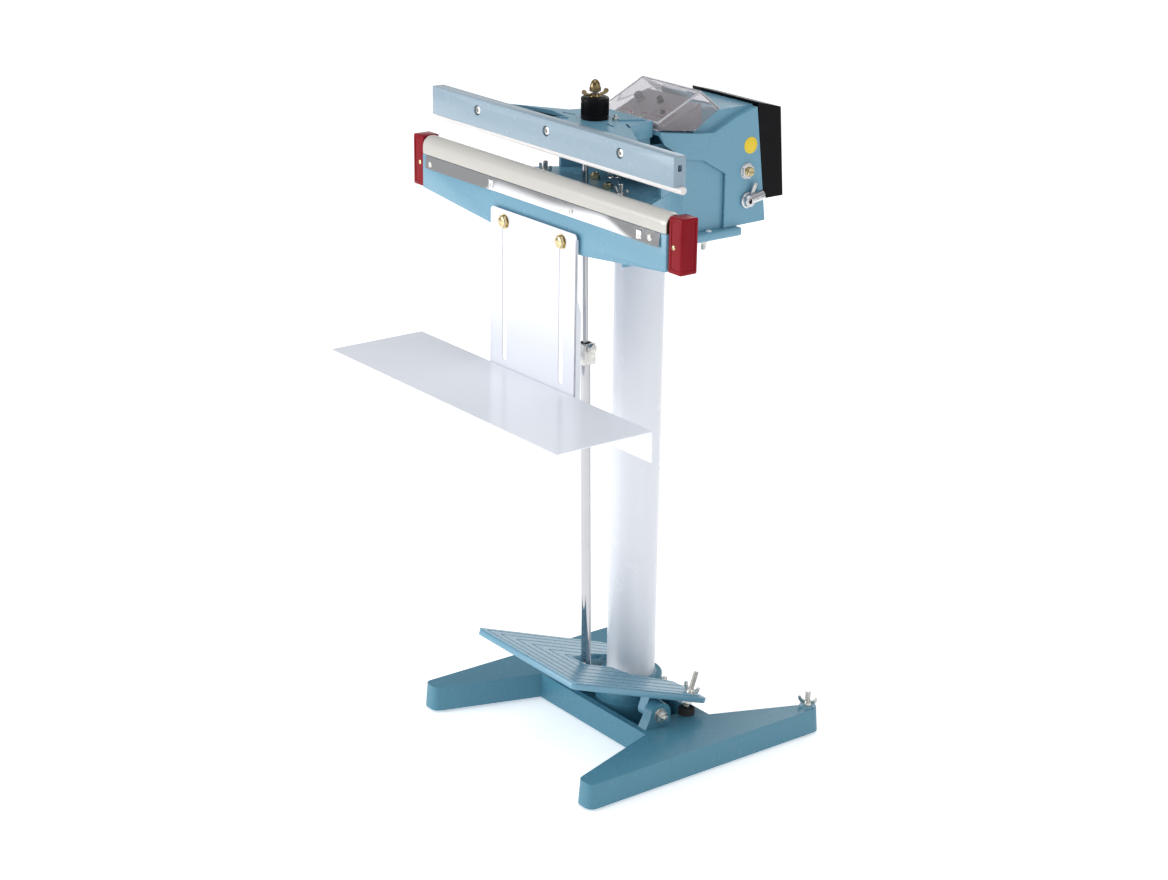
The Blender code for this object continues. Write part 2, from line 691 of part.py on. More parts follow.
def make_jaw():
    half = [(JAW_MIDDLE_X, JAW_MIDDLE_Z), (JAW_HALF_LENGTH, JAW_END_Z), (JAW_HALF_LENGTH, JAW_TOP)]
    outline = mirrored(half)
    jaw = slab(
        "jaw_casting", "blue_paint", ASSEMBLY, outline, JAW_REAR_Y - JAW_FRONT_Y,
        (0, (JAW_REAR_Y + JAW_FRONT_Y) / 2, 0), "XZ", edge=0.0012,
    )
    for side, word in ((-1, "left"), (1, "right")):
        boss = rod(
            f"plate_boss_{word}", None, ASSEMBLY, 0.0095, 0.0056,
            (side * SLOT_X, (JAW_FRONT_Y + PLATE_BACK_Y) / 2 + 0.0010, BOLT_Z), "Y", 20,
        )
        join(jaw, boss)
        centre = (side * SLOT_X, PLATE_BACK_Y, BOLT_Z)
        cut(jaw, rod(f"plate_thread_{word}", None, ASSEMBLY, 0.0035, 0.024, centre, "Y", 12))
        hex_bolt(
            f"plate_bolt_{word}", "yellow_zinc", ASSEMBLY,
            (side * SLOT_X, PLATE_FRONT_Y - GAP, BOLT_Z), (math.pi / 2, 0, 0),
            0.0078, 0.005, 0.0031, 0.011,
        )
    legs = JAW_TOP + GAP - PAD_Z
    arch = [(0.0112 * math.cos(a), 0.0105 * math.sin(a)) for a in (math.pi * i / 12 for i in range(13))]
    slab(
        "jaw_insulator", "bakelite", ASSEMBLY, [(0.0112, legs)] + arch + [(-0.0112, legs)],
        2 * PAD_HALF_LENGTH - 0.002, (0, PAD_Y, PAD_Z), "YZ",
    )
    span(
        "heating_strip", "steel", ASSEMBLY,
        (-PAD_HALF_LENGTH + 0.012, PAD_Y - 0.002, PAD_Z + 0.0108),
        (PAD_HALF_LENGTH - 0.012, PAD_Y + 0.002, PAD_Z + 0.0114),
    )
    outer = [(0.0127, legs + 0.0002)]
    outer += [(0.0127 * math.cos(a), 0.0130 * math.sin(a)) for a in (math.pi * i / 14 for i in range(15))]
    outer += [(-0.0127, legs + 0.0002)]
    profile = [(PAD_Y + y, PAD_Z + z) for y, z in outer]
    shell("ptfe_cover", "ptfe", ASSEMBLY, profile, PAD_HALF_LENGTH, [len(profile) - 1], 0.0008)
    cover = bpy.data.objects["ptfe_cover"]
    ends = [(PAD_Y + y, PAD_Z + z) for y, z in [(0.0116, legs - 0.004)] + arch + [(-0.0116, legs - 0.004)]]
    cut(cover, slab("cover_ends", None, ASSEMBLY, ends, 2 * PAD_HALF_LENGTH + 0.01, (0, 0, 0), "YZ"))
    span(
        "front_strip", "chrome", ASSEMBLY, (-0.225, -0.1556, 0.699), (0.225, JAW_FRONT_Y - GAP, 0.7146),
        edge=0.0004,
    )
    for side, word in ((-1, "left"), (1, "right")):
        middle = side * (CAP_INNER_X + CAP_OUTER_X) / 2
        cap = box(
            f"end_cap_{word}", "red_plastic", ASSEMBLY, (CAP_OUTER_X - CAP_INNER_X, 0.0235, 0.0624),
            (middle, -0.13975, 0.7042), edge=0.002, segments=3,
        )
        cut(
            cap,
            box(
                f"cap_hollow_{word}", None, ASSEMBLY, (CAP_OUTER_X - CAP_INNER_X, 0.0191, 0.0580),
                (middle - side * 0.0025, -0.13975, 0.7042),
            ),
        )


CASING_PROFILE = [
    (-0.0227, 0.7777), (0.032, 0.770), (0.0586, 0.768), (0.094, 0.783), (0.106, 0.7865), (0.124, 0.7915),
    (0.1422, 0.652), (0.078, 0.651), (0.078, 0.717), (0.044, 0.737), (0.018, 0.7416), (-0.0154, 0.762),
]


def make_casing():
    underside = list(range(5, len(CASING_PROFILE)))
    casing = shell(
        "head_casing", "blue_paint", ASSEMBLY, CASING_PROFILE, CASING_HALF_WIDTH, underside, CASING_WALL
    )
    crown = [
        (0.0345, 0.7712), (0.070, 0.7925), (0.1238, 0.7934), (0.1236, 0.7900),
        (0.106, 0.7850), (0.094, 0.7815), (0.0586, 0.7665), (0.0345, 0.7685),
    ]
    join(casing, slab("crown", None, ASSEMBLY, crown, 2 * CROWN_HALF_WIDTH, (0, 0, 0), "YZ"))
    for name, y, z in (("fuse", 0.111, 0.716), ("gland", 0.112, 0.681)):
        cut(casing, rod(f"{name}_hole", None, ASSEMBLY, 0.0063, 0.02, (CASING_HALF_WIDTH, y, z), "X", 16))
    joint_low = 0.145
    joint_high = 0.1195
    behind = [(joint_high, 0.83), (joint_low, 0.63), (0.2, 0.63), (0.2, 0.83)]
    cut(casing, slab("casing_trim", None, ASSEMBLY, behind, 0.2, (0, 0, 0), "YZ"))
    back = [(0.1225, 0.7975), (0.1604, 0.7877), (0.1692, 0.679), (0.1375, 0.679)]
    rear = shell("rear_cover", "black_plastic", ASSEMBLY, back, CASING_HALF_WIDTH + 0.0005, [3], 0.0025)
    before = [(joint_high + GAP, 0.83), (0.05, 0.83), (0.05, 0.63), (joint_low + GAP, 0.63)]
    cut(rear, slab("cover_trim", None, ASSEMBLY, before, 0.2, (0, 0, 0), "YZ"))
    slope = math.atan2(0.1692 - 0.1604, 0.7877 - 0.679)
    panel = box(
        "rear_panel", None, ASSEMBLY, (0.104, 0.0080, 0.080), (0, 0.1658, 0.7375), (slope, 0, 0), 0.002
    )
    join(rear, panel)


def make_fittings():
    turned(
        "fuse_holder", "zinc", ASSEMBLY,
        [
            (0, 0.0085), (0.0042, 0.0085), (0.0048, 0.0075), (0.0048, 0.0050), (0.0090, 0.0046),
            (0.0092, GAP), (0.0058, GAP), (0.0058, -0.016), (0, -0.016),
        ],
        (CASING_HALF_WIDTH, 0.111, 0.716), sides=18, rotation=(0, math.pi / 2, 0),
    )
    turned(
        "cable_gland", "chrome", ASSEMBLY,
        [
            (0.0072, 0.0090), (0.0078, 0.0080), (0.0078, 0.0045), (0.0095, 0.0040), (0.0095, GAP),
            (0.0058, GAP), (0.0058, -0.010), (0.0036, -0.010), (0.0036, 0.0090),
        ],
        (CASING_HALF_WIDTH, 0.112, 0.681), sides=18, closed=True, rotation=(0, math.pi / 2, 0),
    )
    span("transformer_core", "steel", ASSEMBLY, (-0.032, 0.088, 0.662), (0.032, 0.116, 0.726), edge=0.001)
    core = bpy.data.objects["transformer_core"]
    cut(core, span("core_window", None, ASSEMBLY, (-0.0205, 0.080, 0.6715), (0.0205, 0.125, 0.7165)))
    span("transformer_coil", "copper", ASSEMBLY, (-0.020, 0.0850, 0.672), (0.020, 0.1190, 0.716), edge=0.003)
    span("timer_board", "board", ASSEMBLY, (-0.045, 0.146, 0.695), (0.045, 0.1476, 0.765))


def make_cover():
    panel = [(-0.0120, 0.7778), (-0.0105, 0.7815), (0.0455, 0.8033), (0.0475, 0.7805), (0.0335, 0.7719)]
    slab("control_panel", "panel", ASSEMBLY, panel, 2 * PANEL_HALF_WIDTH, (0, 0, 0), "YZ", edge=0.0008)
    profile = [(-0.0226, 0.7880), (0.0410, 0.8188), (HINGE_Y, HINGE_Z), (0.0335, 0.7716), (-0.0216, 0.7788)]
    cover = shell("clear_cover", "clear_plastic", COVER, profile, COVER_HALF_WIDTH, [2, 3], 0.0022)
    cover.location = -COVER.location


def make_knob(name, key, carrier, radius, height):
    tilt = (PANEL_SLOPE, 0, 0)
    knob = turned(
        name, key, carrier,
        [
            (0, height), (radius * 0.62, height), (radius * 0.72, height * 0.9),
            (radius * 0.8, height * 0.28), (radius, height * 0.2), (radius, 0), (0, 0),
        ],
        carrier.location, sides=20, rotation=tilt,
    )
    turn = Euler(tilt).to_matrix()
    pointer = box(
        name + "_pointer", None, carrier, (radius * 0.22, radius * 0.62, height * 0.75),
        carrier.location + turn @ Vector((0, radius * 0.55, height * 0.45)), tilt,
    )
    join(knob, pointer)


# ---------------------------------------------------------------- upper arm
def make_arm():
    half = [
        (0.137, -0.1247), (0.137, -0.1205), (0.127, -0.108), (0.0575, -0.0655), (0.050, -0.040),
        (0.048, -0.0245),
    ]
    outline = mirrored(half)
    window = [
        (-0.1140, -0.1065), (-0.0307, -0.1080), (-0.0225, -0.0950), (-0.0608, -0.0880), (-0.0960, -0.0985),
    ]
    thickness = 0.0185
    arm = slab(
        "upper_arm", "blue_paint", ARM, outline, thickness, (0, 0, ARM_TOP - thickness / 2),
        holes=[window, ring((0, STUD_Y), 0.0039, 16)],
    )
    web = span("web", None, ARM, (-0.044, -0.0575, 0.742), (0.044, -0.0247, 0.774))
    tongue_profile = [(-0.046, 0.742), (0.055, 0.737)] + arc((ARM_Y, ARM_Z), 0.008, -90, 90, 8)
    tongue_profile += [(0.030, 0.7600), (-0.046, 0.7605)]
    tongue = slab("tongue", None, ARM, tongue_profile, 0.086, (0, 0, 0), "YZ")
    join(arm, web, tongue)
    cut(
        arm,
        rod("tongue_bore", None, ARM, 0.0053, 0.12, (0, ARM_Y, ARM_Z), "X", 16),
        span("tongue_window", None, ARM, (-0.030, -0.018, 0.73), (0.030, 0.034, 0.78)),
    )
    bevel(arm, 0.0012, 1, 50)
    bar = span(
        "upper_bar", "blue_paint", ARM,
        (-BAR_HALF_LENGTH, BAR_FRONT_Y, BAR_BOTTOM), (BAR_HALF_LENGTH, BAR_REAR_Y, BAR_TOP), edge=0.0012,
    )
    groove = rod(
        "strip_groove", None, ARM, STRIP_RADIUS + GAP, 0.5, (0, STRIP_Y, STRIP_Z), "X", 20
    )
    cut(bar, groove)
    for side in (-1, 1):
        cut(
            bar,
            box(
                f"end_hole_{side}", None, ARM, (0.030, 0.0055, 0.0072),
                (side * BAR_HALF_LENGTH, (BAR_FRONT_Y + BAR_REAR_Y) / 2, 0.7837),
            ),
        )
    for word, x in (("left", -BAR_SCREW_X), ("middle", 0.0), ("right", BAR_SCREW_X)):
        cut(
            bar,
            rod(f"screw_recess_{word}", None, ARM, 0.0062, 0.008, (x, BAR_FRONT_Y, 0.7833), "Y", 20),
            rod(f"screw_clear_{word}", None, ARM, 0.0030, 0.05, (x, BAR_FRONT_Y, 0.7833), "Y", 12),
        )
        turned(
            f"bar_screw_{word}", "zinc", ARM,
            [
                (0, 0.0028), (0.003, 0.0025), (0.0050, 0.0010), (0.0050, 0), (0.0026, 0),
                (0.0026, -0.0118), (0, -0.0118),
            ],
            (x, BAR_FRONT_Y + 0.0040 - GAP, 0.7833), sides=16, rotation=(math.pi / 2, 0, 0),
        )
    rod(
        "seal_strip", "silicone", ARM, STRIP_RADIUS, 0.470, (0, STRIP_Y, STRIP_Z), "X", 20, edge=0.0008
    )


def make_pressure_screw():
    top = 0.815
    turned(
        "spring_cup", "black_plastic", ARM,
        [
            (0.0155, top), (0.0165, top - 0.001), (0.0165, ARM_TOP + 0.0013), (0.0158, ARM_TOP + GAP),
            (0.0115, ARM_TOP + GAP), (0.0115, top - 0.003), (0.0042, top - 0.003), (0.0042, top),
        ],
        (0, STUD_Y, 0), sides=28, closed=True,
    )
    turned(
        "pressure_stud", "steel", ARM,
        [
            (0, 0.828), (0.0035, 0.828), (0.0035, 0.739), (0.0075, 0.739), (0.0075, 0.734), (0, 0.733)
        ],
        (0, STUD_Y, 0), sides=16,
    )
    nut = wing_nut(
        "wing_nut", "yellow_zinc", ARM, (0, STUD_Y, top + GAP), (0, 0, math.radians(80)),
        0.0175, 0.0095, 0.0005, -0.0004, radius=0.002,
    )
    cut(nut, rod("wing_thread", None, ARM, 0.0038, 0.03, (0, STUD_Y, top), sides=16))
    turned(
        "dome_nut", "yellow_zinc", ARM,
        [
            (0, 0.8353), (0.0025, 0.8348), (0.0050, 0.8325), (0.0062, 0.8290), (0.0068, 0.8262),
            (0.0068, 0.8212), (0.0038, 0.8212), (0.0038, 0.8284), (0, 0.8284),
        ],
        (0, STUD_Y, 0), sides=16,
    )
    coil = 0.0075
    turns = 6
    steps = 12
    low = DECK_Z + 0.0015
    high = 0.7408
    points = []
    for i in range(turns * steps + 1):
        angle = math.tau * i / steps
        rise = (high - low) * i / (turns * steps)
        points.append((coil * math.cos(angle), coil * math.sin(angle), rise))
    wire("return_spring", "zinc", ASSEMBLY, 0.0008, points, (0, -0.041, low))


# ---------------------------------------------------------------- bag shelf
def make_shelf():
    radius = 0.005
    half = [(PLATE_HALF_WIDTH, PLATE_BOTTOM)]
    half += arc((PLATE_HALF_WIDTH - radius, PLATE_TOP - radius), radius, 0, 90, 5)
    outline = mirrored(half)
    slots = [slot(side * SLOT_X, 0.004, 0.500, BOLT_Z + 0.004) for side in (-1, 1)]
    slab(
        "support_plate", "sheet_paint", TRAY, outline, PLATE_BACK_Y - PLATE_FRONT_Y,
        (0, (PLATE_BACK_Y + PLATE_FRONT_Y) / 2, 0), "XZ", holes=slots,
    )
    back = PLATE_FRONT_Y - GAP
    profile = [
        (TRAY_FRONT_Y, TRAY_TOP), (TRAY_FRONT_Y, TRAY_TOP - SHEET), (back - SHEET - 0.001, TRAY_TOP - SHEET),
        (back - SHEET, TRAY_TOP - SHEET - 0.001), (back - SHEET, TRAY_TOP - TRAY_LIP),
        (back, TRAY_TOP - TRAY_LIP), (back, TRAY_TOP - 0.002), (back - 0.002, TRAY_TOP),
    ]
    slab("tray", "sheet_paint", TRAY, profile, 2 * TRAY_HALF_WIDTH, (0, 0, 0), "YZ")


for leftover in list(bpy.data.objects):
    bpy.data.objects.remove(leftover)
PARTS = collection("impulse_heat_sealer")
CUTTERS = collection("cutters")
ASSEMBLY = empty("assembly", (0, SHIFT_Y, -FLOOR_Z))
PEDAL = empty("pedal_axis", (0, PIVOT_Y, PIVOT_Z), ASSEMBLY)
ROD = empty("rod_axis", (0, ROD_Y, ROD_Z), ASSEMBLY)
ARM = empty("arm_axis", (0, ARM_Y, ARM_Z), ASSEMBLY)
COVER = empty("cover_axis", (0, HINGE_Y, HINGE_Z), ASSEMBLY)
TRAY = empty("tray_slide", (0, PLATE_BACK_Y, BOLT_Z), ASSEMBLY)
TIMER = empty("timer_axis", (-0.0359, 0.0232, 0.7950), ASSEMBLY)
MODE = empty("mode_axis", (-0.0007, 0.0267, 0.7964), ASSEMBLY)

make_stand()
make_pedal()
make_rod()
make_frame()
make_jaw()
make_casing()
make_fittings()
make_cover()
make_knob("timer_knob", "grey_plastic", TIMER, 0.0075, 0.009)
make_knob("mode_knob", "black_plastic", MODE, 0.0060, 0.008)
make_arm()
make_pressure_screw()
make_shelf()
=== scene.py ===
"""Looks of the foot-pedal impulse heat sealer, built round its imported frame. Metres, +Z up."""

import json
import math

import bmesh
import bpy
from mathutils import Euler, Matrix, Vector


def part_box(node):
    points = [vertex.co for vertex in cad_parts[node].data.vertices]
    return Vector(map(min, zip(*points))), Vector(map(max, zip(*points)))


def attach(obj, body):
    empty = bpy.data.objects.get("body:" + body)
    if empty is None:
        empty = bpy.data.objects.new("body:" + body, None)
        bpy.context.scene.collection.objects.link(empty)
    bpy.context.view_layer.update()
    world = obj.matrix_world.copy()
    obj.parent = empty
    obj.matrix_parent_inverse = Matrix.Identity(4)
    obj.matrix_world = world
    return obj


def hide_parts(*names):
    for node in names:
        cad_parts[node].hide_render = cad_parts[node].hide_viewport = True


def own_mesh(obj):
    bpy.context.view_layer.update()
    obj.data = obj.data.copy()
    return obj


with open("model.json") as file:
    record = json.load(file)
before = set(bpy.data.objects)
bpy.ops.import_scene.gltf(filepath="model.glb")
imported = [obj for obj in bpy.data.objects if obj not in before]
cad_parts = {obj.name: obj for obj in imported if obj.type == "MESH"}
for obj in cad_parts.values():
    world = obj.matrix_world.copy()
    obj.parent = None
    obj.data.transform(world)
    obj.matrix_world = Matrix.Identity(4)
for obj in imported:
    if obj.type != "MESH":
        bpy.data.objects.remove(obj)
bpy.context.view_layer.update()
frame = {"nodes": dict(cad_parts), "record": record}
NODES = frame["nodes"]
RECORD = frame["record"]
BODY = {node: body for body, nodes in RECORD["behaviour"]["bodies"].items() for node in nodes}
SLOT = {row["node"]: row["material_slot"] for row in RECORD["subparts"]}

# Places are measured from the column's axis and from a level this far below the floor
FLOOR_Z = 0.0095
AXIS_Y = sum(corner.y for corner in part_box("column_tube")) / 2
SHIFT = Vector((0, AXIS_Y, -FLOOR_Z))


def local(node):
    """The low corner, the high corner and the middle of a node's box."""
    low, high = (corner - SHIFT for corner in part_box(node))
    return low, high, (low + high) / 2


def shown(name, data):
    """A new object in the scene."""
    obj = bpy.data.objects.new(name, data)
    bpy.context.scene.collection.objects.link(obj)
    return obj


# ---------------------------------------------------------------- camera
def make_camera():
    azimuth = math.radians(52.474)
    elevation = math.radians(19.573)
    roll = math.radians(0.877)
    data = bpy.data.cameras.new("camera")
    data.sensor_width = 36
    data.lens = 73.99
    camera = shown("camera", data)
    turn = (
        Matrix.Rotation(azimuth, 4, "Z")
        @ Matrix.Rotation(math.pi / 2 - elevation, 4, "X")
        @ Matrix.Rotation(roll, 4, "Z")
    )
    camera.matrix_world = Matrix.Translation(Vector((2.15489, -1.73498, 1.36532)) + SHIFT) @ turn
    bpy.context.scene.camera = camera


make_camera()


# ---------------------------------------------------------------- materials
def add_node(tree, kind, values=(), feeds=()):
    """A new shader node with its constants and with the sockets that feed it."""
    made = tree.nodes.new(f"ShaderNode{kind}")
    for key, value in dict(values).items():
        made.inputs[key].default_value = value
    for key, source in dict(feeds).items():
        tree.links.new(source, made.inputs[key])
    return made


def surface(
    name, color, rough=(0.3, 0.4), metallic=0.0, tone=0.08, tone_scale=35.0, rough_scale=90.0,
    bump=0.15, bump_scale=900.0, depth=0.0001, coat=0.0, ior=1.5, pattern="NOISE", stretch=(1, 1, 1),
):
    """A Principled material whose colour, roughness and relief vary over the piece."""
    material = bpy.data.materials.new(name)
    material.use_nodes = True
    tree = material.node_tree
    place = add_node(tree, "TexCoord")
    mapping = add_node(tree, "Mapping", {"Scale": stretch}, {"Vector": place.outputs["Object"]})
    spot = {"Vector": mapping.outputs["Vector"]}
    cloud = add_node(tree, "TexNoise", {"Scale": tone_scale, "Detail": 5}, spot)
    ramp = add_node(tree, "ValToRGB", feeds={"Fac": cloud.outputs["Fac"]})
    for shade, position, gain in zip(ramp.color_ramp.elements, (0.3, 0.7), (1 - tone, 1 + tone)):
        shade.position = position
        shade.color = (*[min(1, c * gain) for c in color], 1)
    smear = add_node(tree, "TexNoise", {"Scale": rough_scale, "Detail": 4}, spot)
    spread = add_node(
        tree, "MapRange", {"From Min": 0.3, "From Max": 0.7, "To Min": rough[0], "To Max": rough[1]},
        {"Value": smear.outputs["Fac"]},
    )
    feeds = {"Base Color": ramp.outputs["Color"], "Roughness": spread.outputs["Result"]}
    if bump:
        relief_values = {"Scale": bump_scale}
        if pattern == "WEAVE":
            relief = add_node(tree, "TexWave", relief_values, spot)
            relief.bands_direction = "X"
        else:
            relief = add_node(tree, "TexNoise", relief_values | {"Detail": 3}, spot)
        raised = add_node(
            tree, "Bump", {"Strength": bump, "Distance": depth}, {"Height": relief.outputs["Fac"]}
        )
        feeds["Normal"] = raised.outputs["Normal"]
    shader = tree.nodes["Principled BSDF"]
    for key, source in feeds.items():
        tree.links.new(source, shader.inputs[key])
    shader.inputs["Metallic"].default_value = metallic
    shader.inputs["IOR"].default_value = ior
    shader.inputs["Coat Weight"].default_value = coat
    shader.inputs["Coat Roughness"].default_value = 0.12
    return material


def clear_plastic():
    material = surface(
        "clear_acrylic", (0.97, 0.96, 0.98), (0.02, 0.06), tone=0.01, bump=0.04, bump_scale=40, depth=0.0006
    )
    shader = material.node_tree.nodes["Principled BSDF"]
    shader.inputs["Transmission Weight"].default_value = 0.94
    shader.inputs["IOR"].default_value = 1.46
    return material


GLOSS = {"tone_scale": 14, "bump_scale": 380, "depth": 0.00012}
FINISH = {
    "blue_paint": surface(
        "blue_paint_finish", (0.160, 0.355, 0.480), (0.24, 0.28), tone=0.012, bump=0.015, **GLOSS
    ),
    "column_paint": surface(
        "column_paint", (0.79, 0.81, 0.86), (
            0.24, 0.28,
        ), tone=0.008, tone_scale=9, rough_scale=25, bump=0.05,
        bump_scale=500,
    ),
    "sheet_paint": surface(
        "sheet_paint", (0.84, 0.86, 0.92), (
            0.14, 0.19,
        ), tone=0.01, tone_scale=12, rough_scale=30, bump=0.06,
        bump_scale=600,
    ),
    "black_plastic": surface(
        "black_moulding", (0.006, 0.006, 0.007), (0.30, 0.40), tone=0.2, bump=0.2, bump_scale=1800, ior=1.18
    ),
    "red_plastic": surface(
        "red_moulding", (0.25, 0.008, 0.015), (0.16, 0.24), tone=0.06, bump=0.06, ior=1.2
    ),
    "clear_plastic": clear_plastic(),
    "panel_plastic": surface("panel_film", (0.31, 0.27, 0.30), (0.30, 0.40), tone=0.04, bump=0.1),
    "grey_plastic": surface("grey_knob", (0.26, 0.25, 0.27), (0.35, 0.45), tone=0.08, bump=0.2),
    "chrome": surface("chrome", (0.67, 0.67, 0.69), (0.03, 0.10), 1.0, tone=0.02, bump=0.02),
    "zinc": surface(
        "bright_zinc", (0.66, 0.65, 0.62), (0.18, 0.34), 1.0, tone=0.1, tone_scale=200, bump=0.2,
    ),
    "yellow_zinc": surface(
        "yellow_zinc", (0.66, 0.55, 0.32), (0.10, 0.20), 1.0, tone=0.15, tone_scale=160, bump=0.15
    ),
    "steel": surface("ground_steel", (0.48, 0.48, 0.50), (0.25, 0.40), 1.0, tone=0.08, stretch=(8, 1, 1)),
    "rubber": surface("rubber", (0.028, 0.027, 0.027), (0.65, 0.85), tone=0.2, bump=0.4, bump_scale=1200),
    "silicone": surface("silicone", (0.82, 0.79, 0.78), (0.30, 0.42), tone=0.03, bump=0.1),
    "ptfe": surface(
        "ptfe_cloth", (0.56, 0.54, 0.50), (0.20, 0.24), tone=0.012, bump=0.12, bump_scale=420,
        ior=1.7, pattern="WEAVE",
    ),
    "bakelite": surface("bakelite", (0.10, 0.045, 0.02), (0.4, 0.55)),
    "copper": surface(
        "copper_winding", (0.45, 0.16, 0.06), (0.25, 0.4), 0.9, bump=0.5, bump_scale=600, pattern="WEAVE",
    ),
    "board": surface("laminate", (0.02, 0.14, 0.05), (0.35, 0.5)),
}
BAR_PAINT = surface(
    "upper_bar_paint", (0.29, 0.39, 0.47), (0.24, 0.28), tone=0.01, bump=0.01, **GLOSS
)
DARK_BRASS = surface(
    "dark_brass", (0.24, 0.18, 0.09), (0.06, 0.14), 1.0, tone=0.25, tone_scale=160, bump=0.15,
)
ROD_STEEL = surface("rod_steel", (0.52, 0.52, 0.54), (0.06, 0.14), 1.0, tone=0.03, bump=0.02)
# Pale grey for the tubes along the clear cover's edges: a painted highlight standing for the bright edges
# of the clear sheet.
EDGE_HIGHLIGHT_FINISH = surface("painted_edge_highlight", (0.80, 0.80, 0.84), (0.15, 0.25), tone=0.02, bump=0.03)
# The blue paint made darker for the base casting: painted shade, standing for the dimmer light low down.
SHADED_BASE_PAINT = surface(
    "base_paint_painted_shade", (0.075, 0.230, 0.320), (0.24, 0.28), tone=0.015, bump=0.015, ior=1.42, **GLOSS
)
LABEL = surface("label_yellow", (0.85, 0.62, 0.03), (0.35, 0.45), tone=0.03, bump=0.05)
LAMP_RED = surface("lamp_red", (0.60, 0.02, 0.02), (0.08, 0.14), tone=0.05, bump=0.02, coat=0.5)
LAMP_GREEN = surface("lamp_green", (0.03, 0.35, 0.08), (0.08, 0.14), tone=0.05, bump=0.02, coat=0.5)


# ---------------------------------------------------------------- building
def hang(obj, body, slot, *stands_for, material=None):
    """Hangs a finished piece on its body, with its finish and the nodes that it stands for."""
    obj.data.materials.append(material or FINISH[slot])
    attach(obj, body)
    if stands_for:
        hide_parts(*stands_for)
    return obj


def mesh_of(name, bm):
    mesh = bpy.data.meshes.new(name)
    bmesh.ops.recalc_face_normals(bm, faces=bm.faces)
    bm.to_mesh(mesh)
    bm.free()
    return mesh


def smooth(mesh, angle=35):
    mesh.shade_smooth()
    mesh.set_sharp_from_angle(angle=math.radians(angle))


def soften(obj, width, segments, angle):
    made = obj.modifiers.new("edges", "BEVEL")
    made.width = width
    made.segments = segments
    made.limit_method = "ANGLE"
    made.angle_limit = math.radians(angle)
    made.harden_normals = True
    return obj


def shaped(
    name, bm, body, slot, *stands_for, at=(0, 0, 0), turn=None, edge=0, segments=2, angle=35, material=None,
):
    """A piece from a body drawn in its own frame, its sharp edges bevelled by the width that edge gives."""
    mesh = mesh_of(name, bm)
    smooth(mesh)
    obj = shown(name, mesh)
    obj.matrix_world = moved(*(Vector(at) + SHIFT), turn)
    hang(obj, body, slot, *stands_for, material=material)
    return soften(obj, edge, segments, angle) if edge else obj


def redrawn(node, bm, **options):
    """A detailed piece in place of a node, on the node's body and in its finish."""
    return shaped(f"{node}_finished", bm, BODY[node], SLOT[node], node, **options)


def refine(node, width=0.0, segments=3, angle=30, material=None):
    """A node's own shape, its flat facets merged and its edges broken."""
    mesh = NODES[node].data.copy()
    mesh.materials.clear()
    bm = bmesh.new()
    bm.from_mesh(mesh)
    bmesh.ops.remove_doubles(bm, verts=bm.verts, dist=0.000004)
    bmesh.ops.dissolve_limit(bm, angle_limit=math.radians(0.4), verts=bm.verts, edges=bm.edges)
    bm.to_mesh(mesh)
    bm.free()
    smooth(mesh, 30)
    obj = shown(f"{node}_finished", mesh)
    hang(obj, BODY[node], SLOT[node], node, material=material)
    return soften(obj, width, segments, angle) if width else obj


def cut(obj, *tools):
    """Cuts bodies drawn in the column's frame out of a piece."""
    for index, bm in enumerate(tools):
        name = f"{obj.name}_tool_{index}"
        tool = shown(name, mesh_of(name, bm))
        tool.location = SHIFT
        tool.hide_render = True
        tool.hide_viewport = True
        made = obj.modifiers.new("cut", "BOOLEAN")
        made.object = tool
        made.operation = "DIFFERENCE"
        made.solver = "EXACT"
    return obj


def add(bm, part, matrix=None):
    """Adds one drawn body to another, moved by a matrix."""
    mesh = bpy.data.meshes.new("part")
    part.to_mesh(mesh)
    part.free()
    if matrix:
        mesh.transform(matrix)
    bm.from_mesh(mesh)
    bpy.data.meshes.remove(mesh)
    return bm


def moved(x, y, z, turn=None):
    return Matrix.Translation((x, y, z)) @ (turn.to_4x4() if turn else Matrix())


def spin(degrees, axis):
    return Matrix.Rotation(math.radians(degrees), 3, axis)


def block(size, at=(0, 0, 0), turn=None):
    bm = bmesh.new()
    bmesh.ops.create_cube(bm, size=1)
    bmesh.ops.scale(bm, vec=size, verts=bm.verts)
    bmesh.ops.transform(bm, matrix=moved(*at, turn), verts=bm.verts)
    return bm


def lathe(profile, steps=48, closed=False):
    """A body turned about Z from (radius, height) points."""
    bm = bmesh.new()
    rings = []
    for radius, height in profile:
        count = steps if radius > 0.000001 else 1
        angles = [math.tau * i / count for i in range(count)]
        rings.append([bm.verts.new((radius * math.cos(a), radius * math.sin(a), height)) for a in angles])
    pairs = list(zip(rings, rings[1:]))
    if closed:
        pairs.append((rings[-1], rings[0]))
    for lower, upper in pairs:
        for i in range(steps):
            j = (i + 1) % steps
            corners = [
                lower[i % len(lower)], lower[j % len(lower)], upper[j % len(upper)], upper[i % len(upper)],
            ]
            unique = list(dict.fromkeys(corners))
            if len(unique) > 2:
                bm.faces.new(unique)
    bmesh.ops.recalc_face_normals(bm, faces=bm.faces)
    return bm


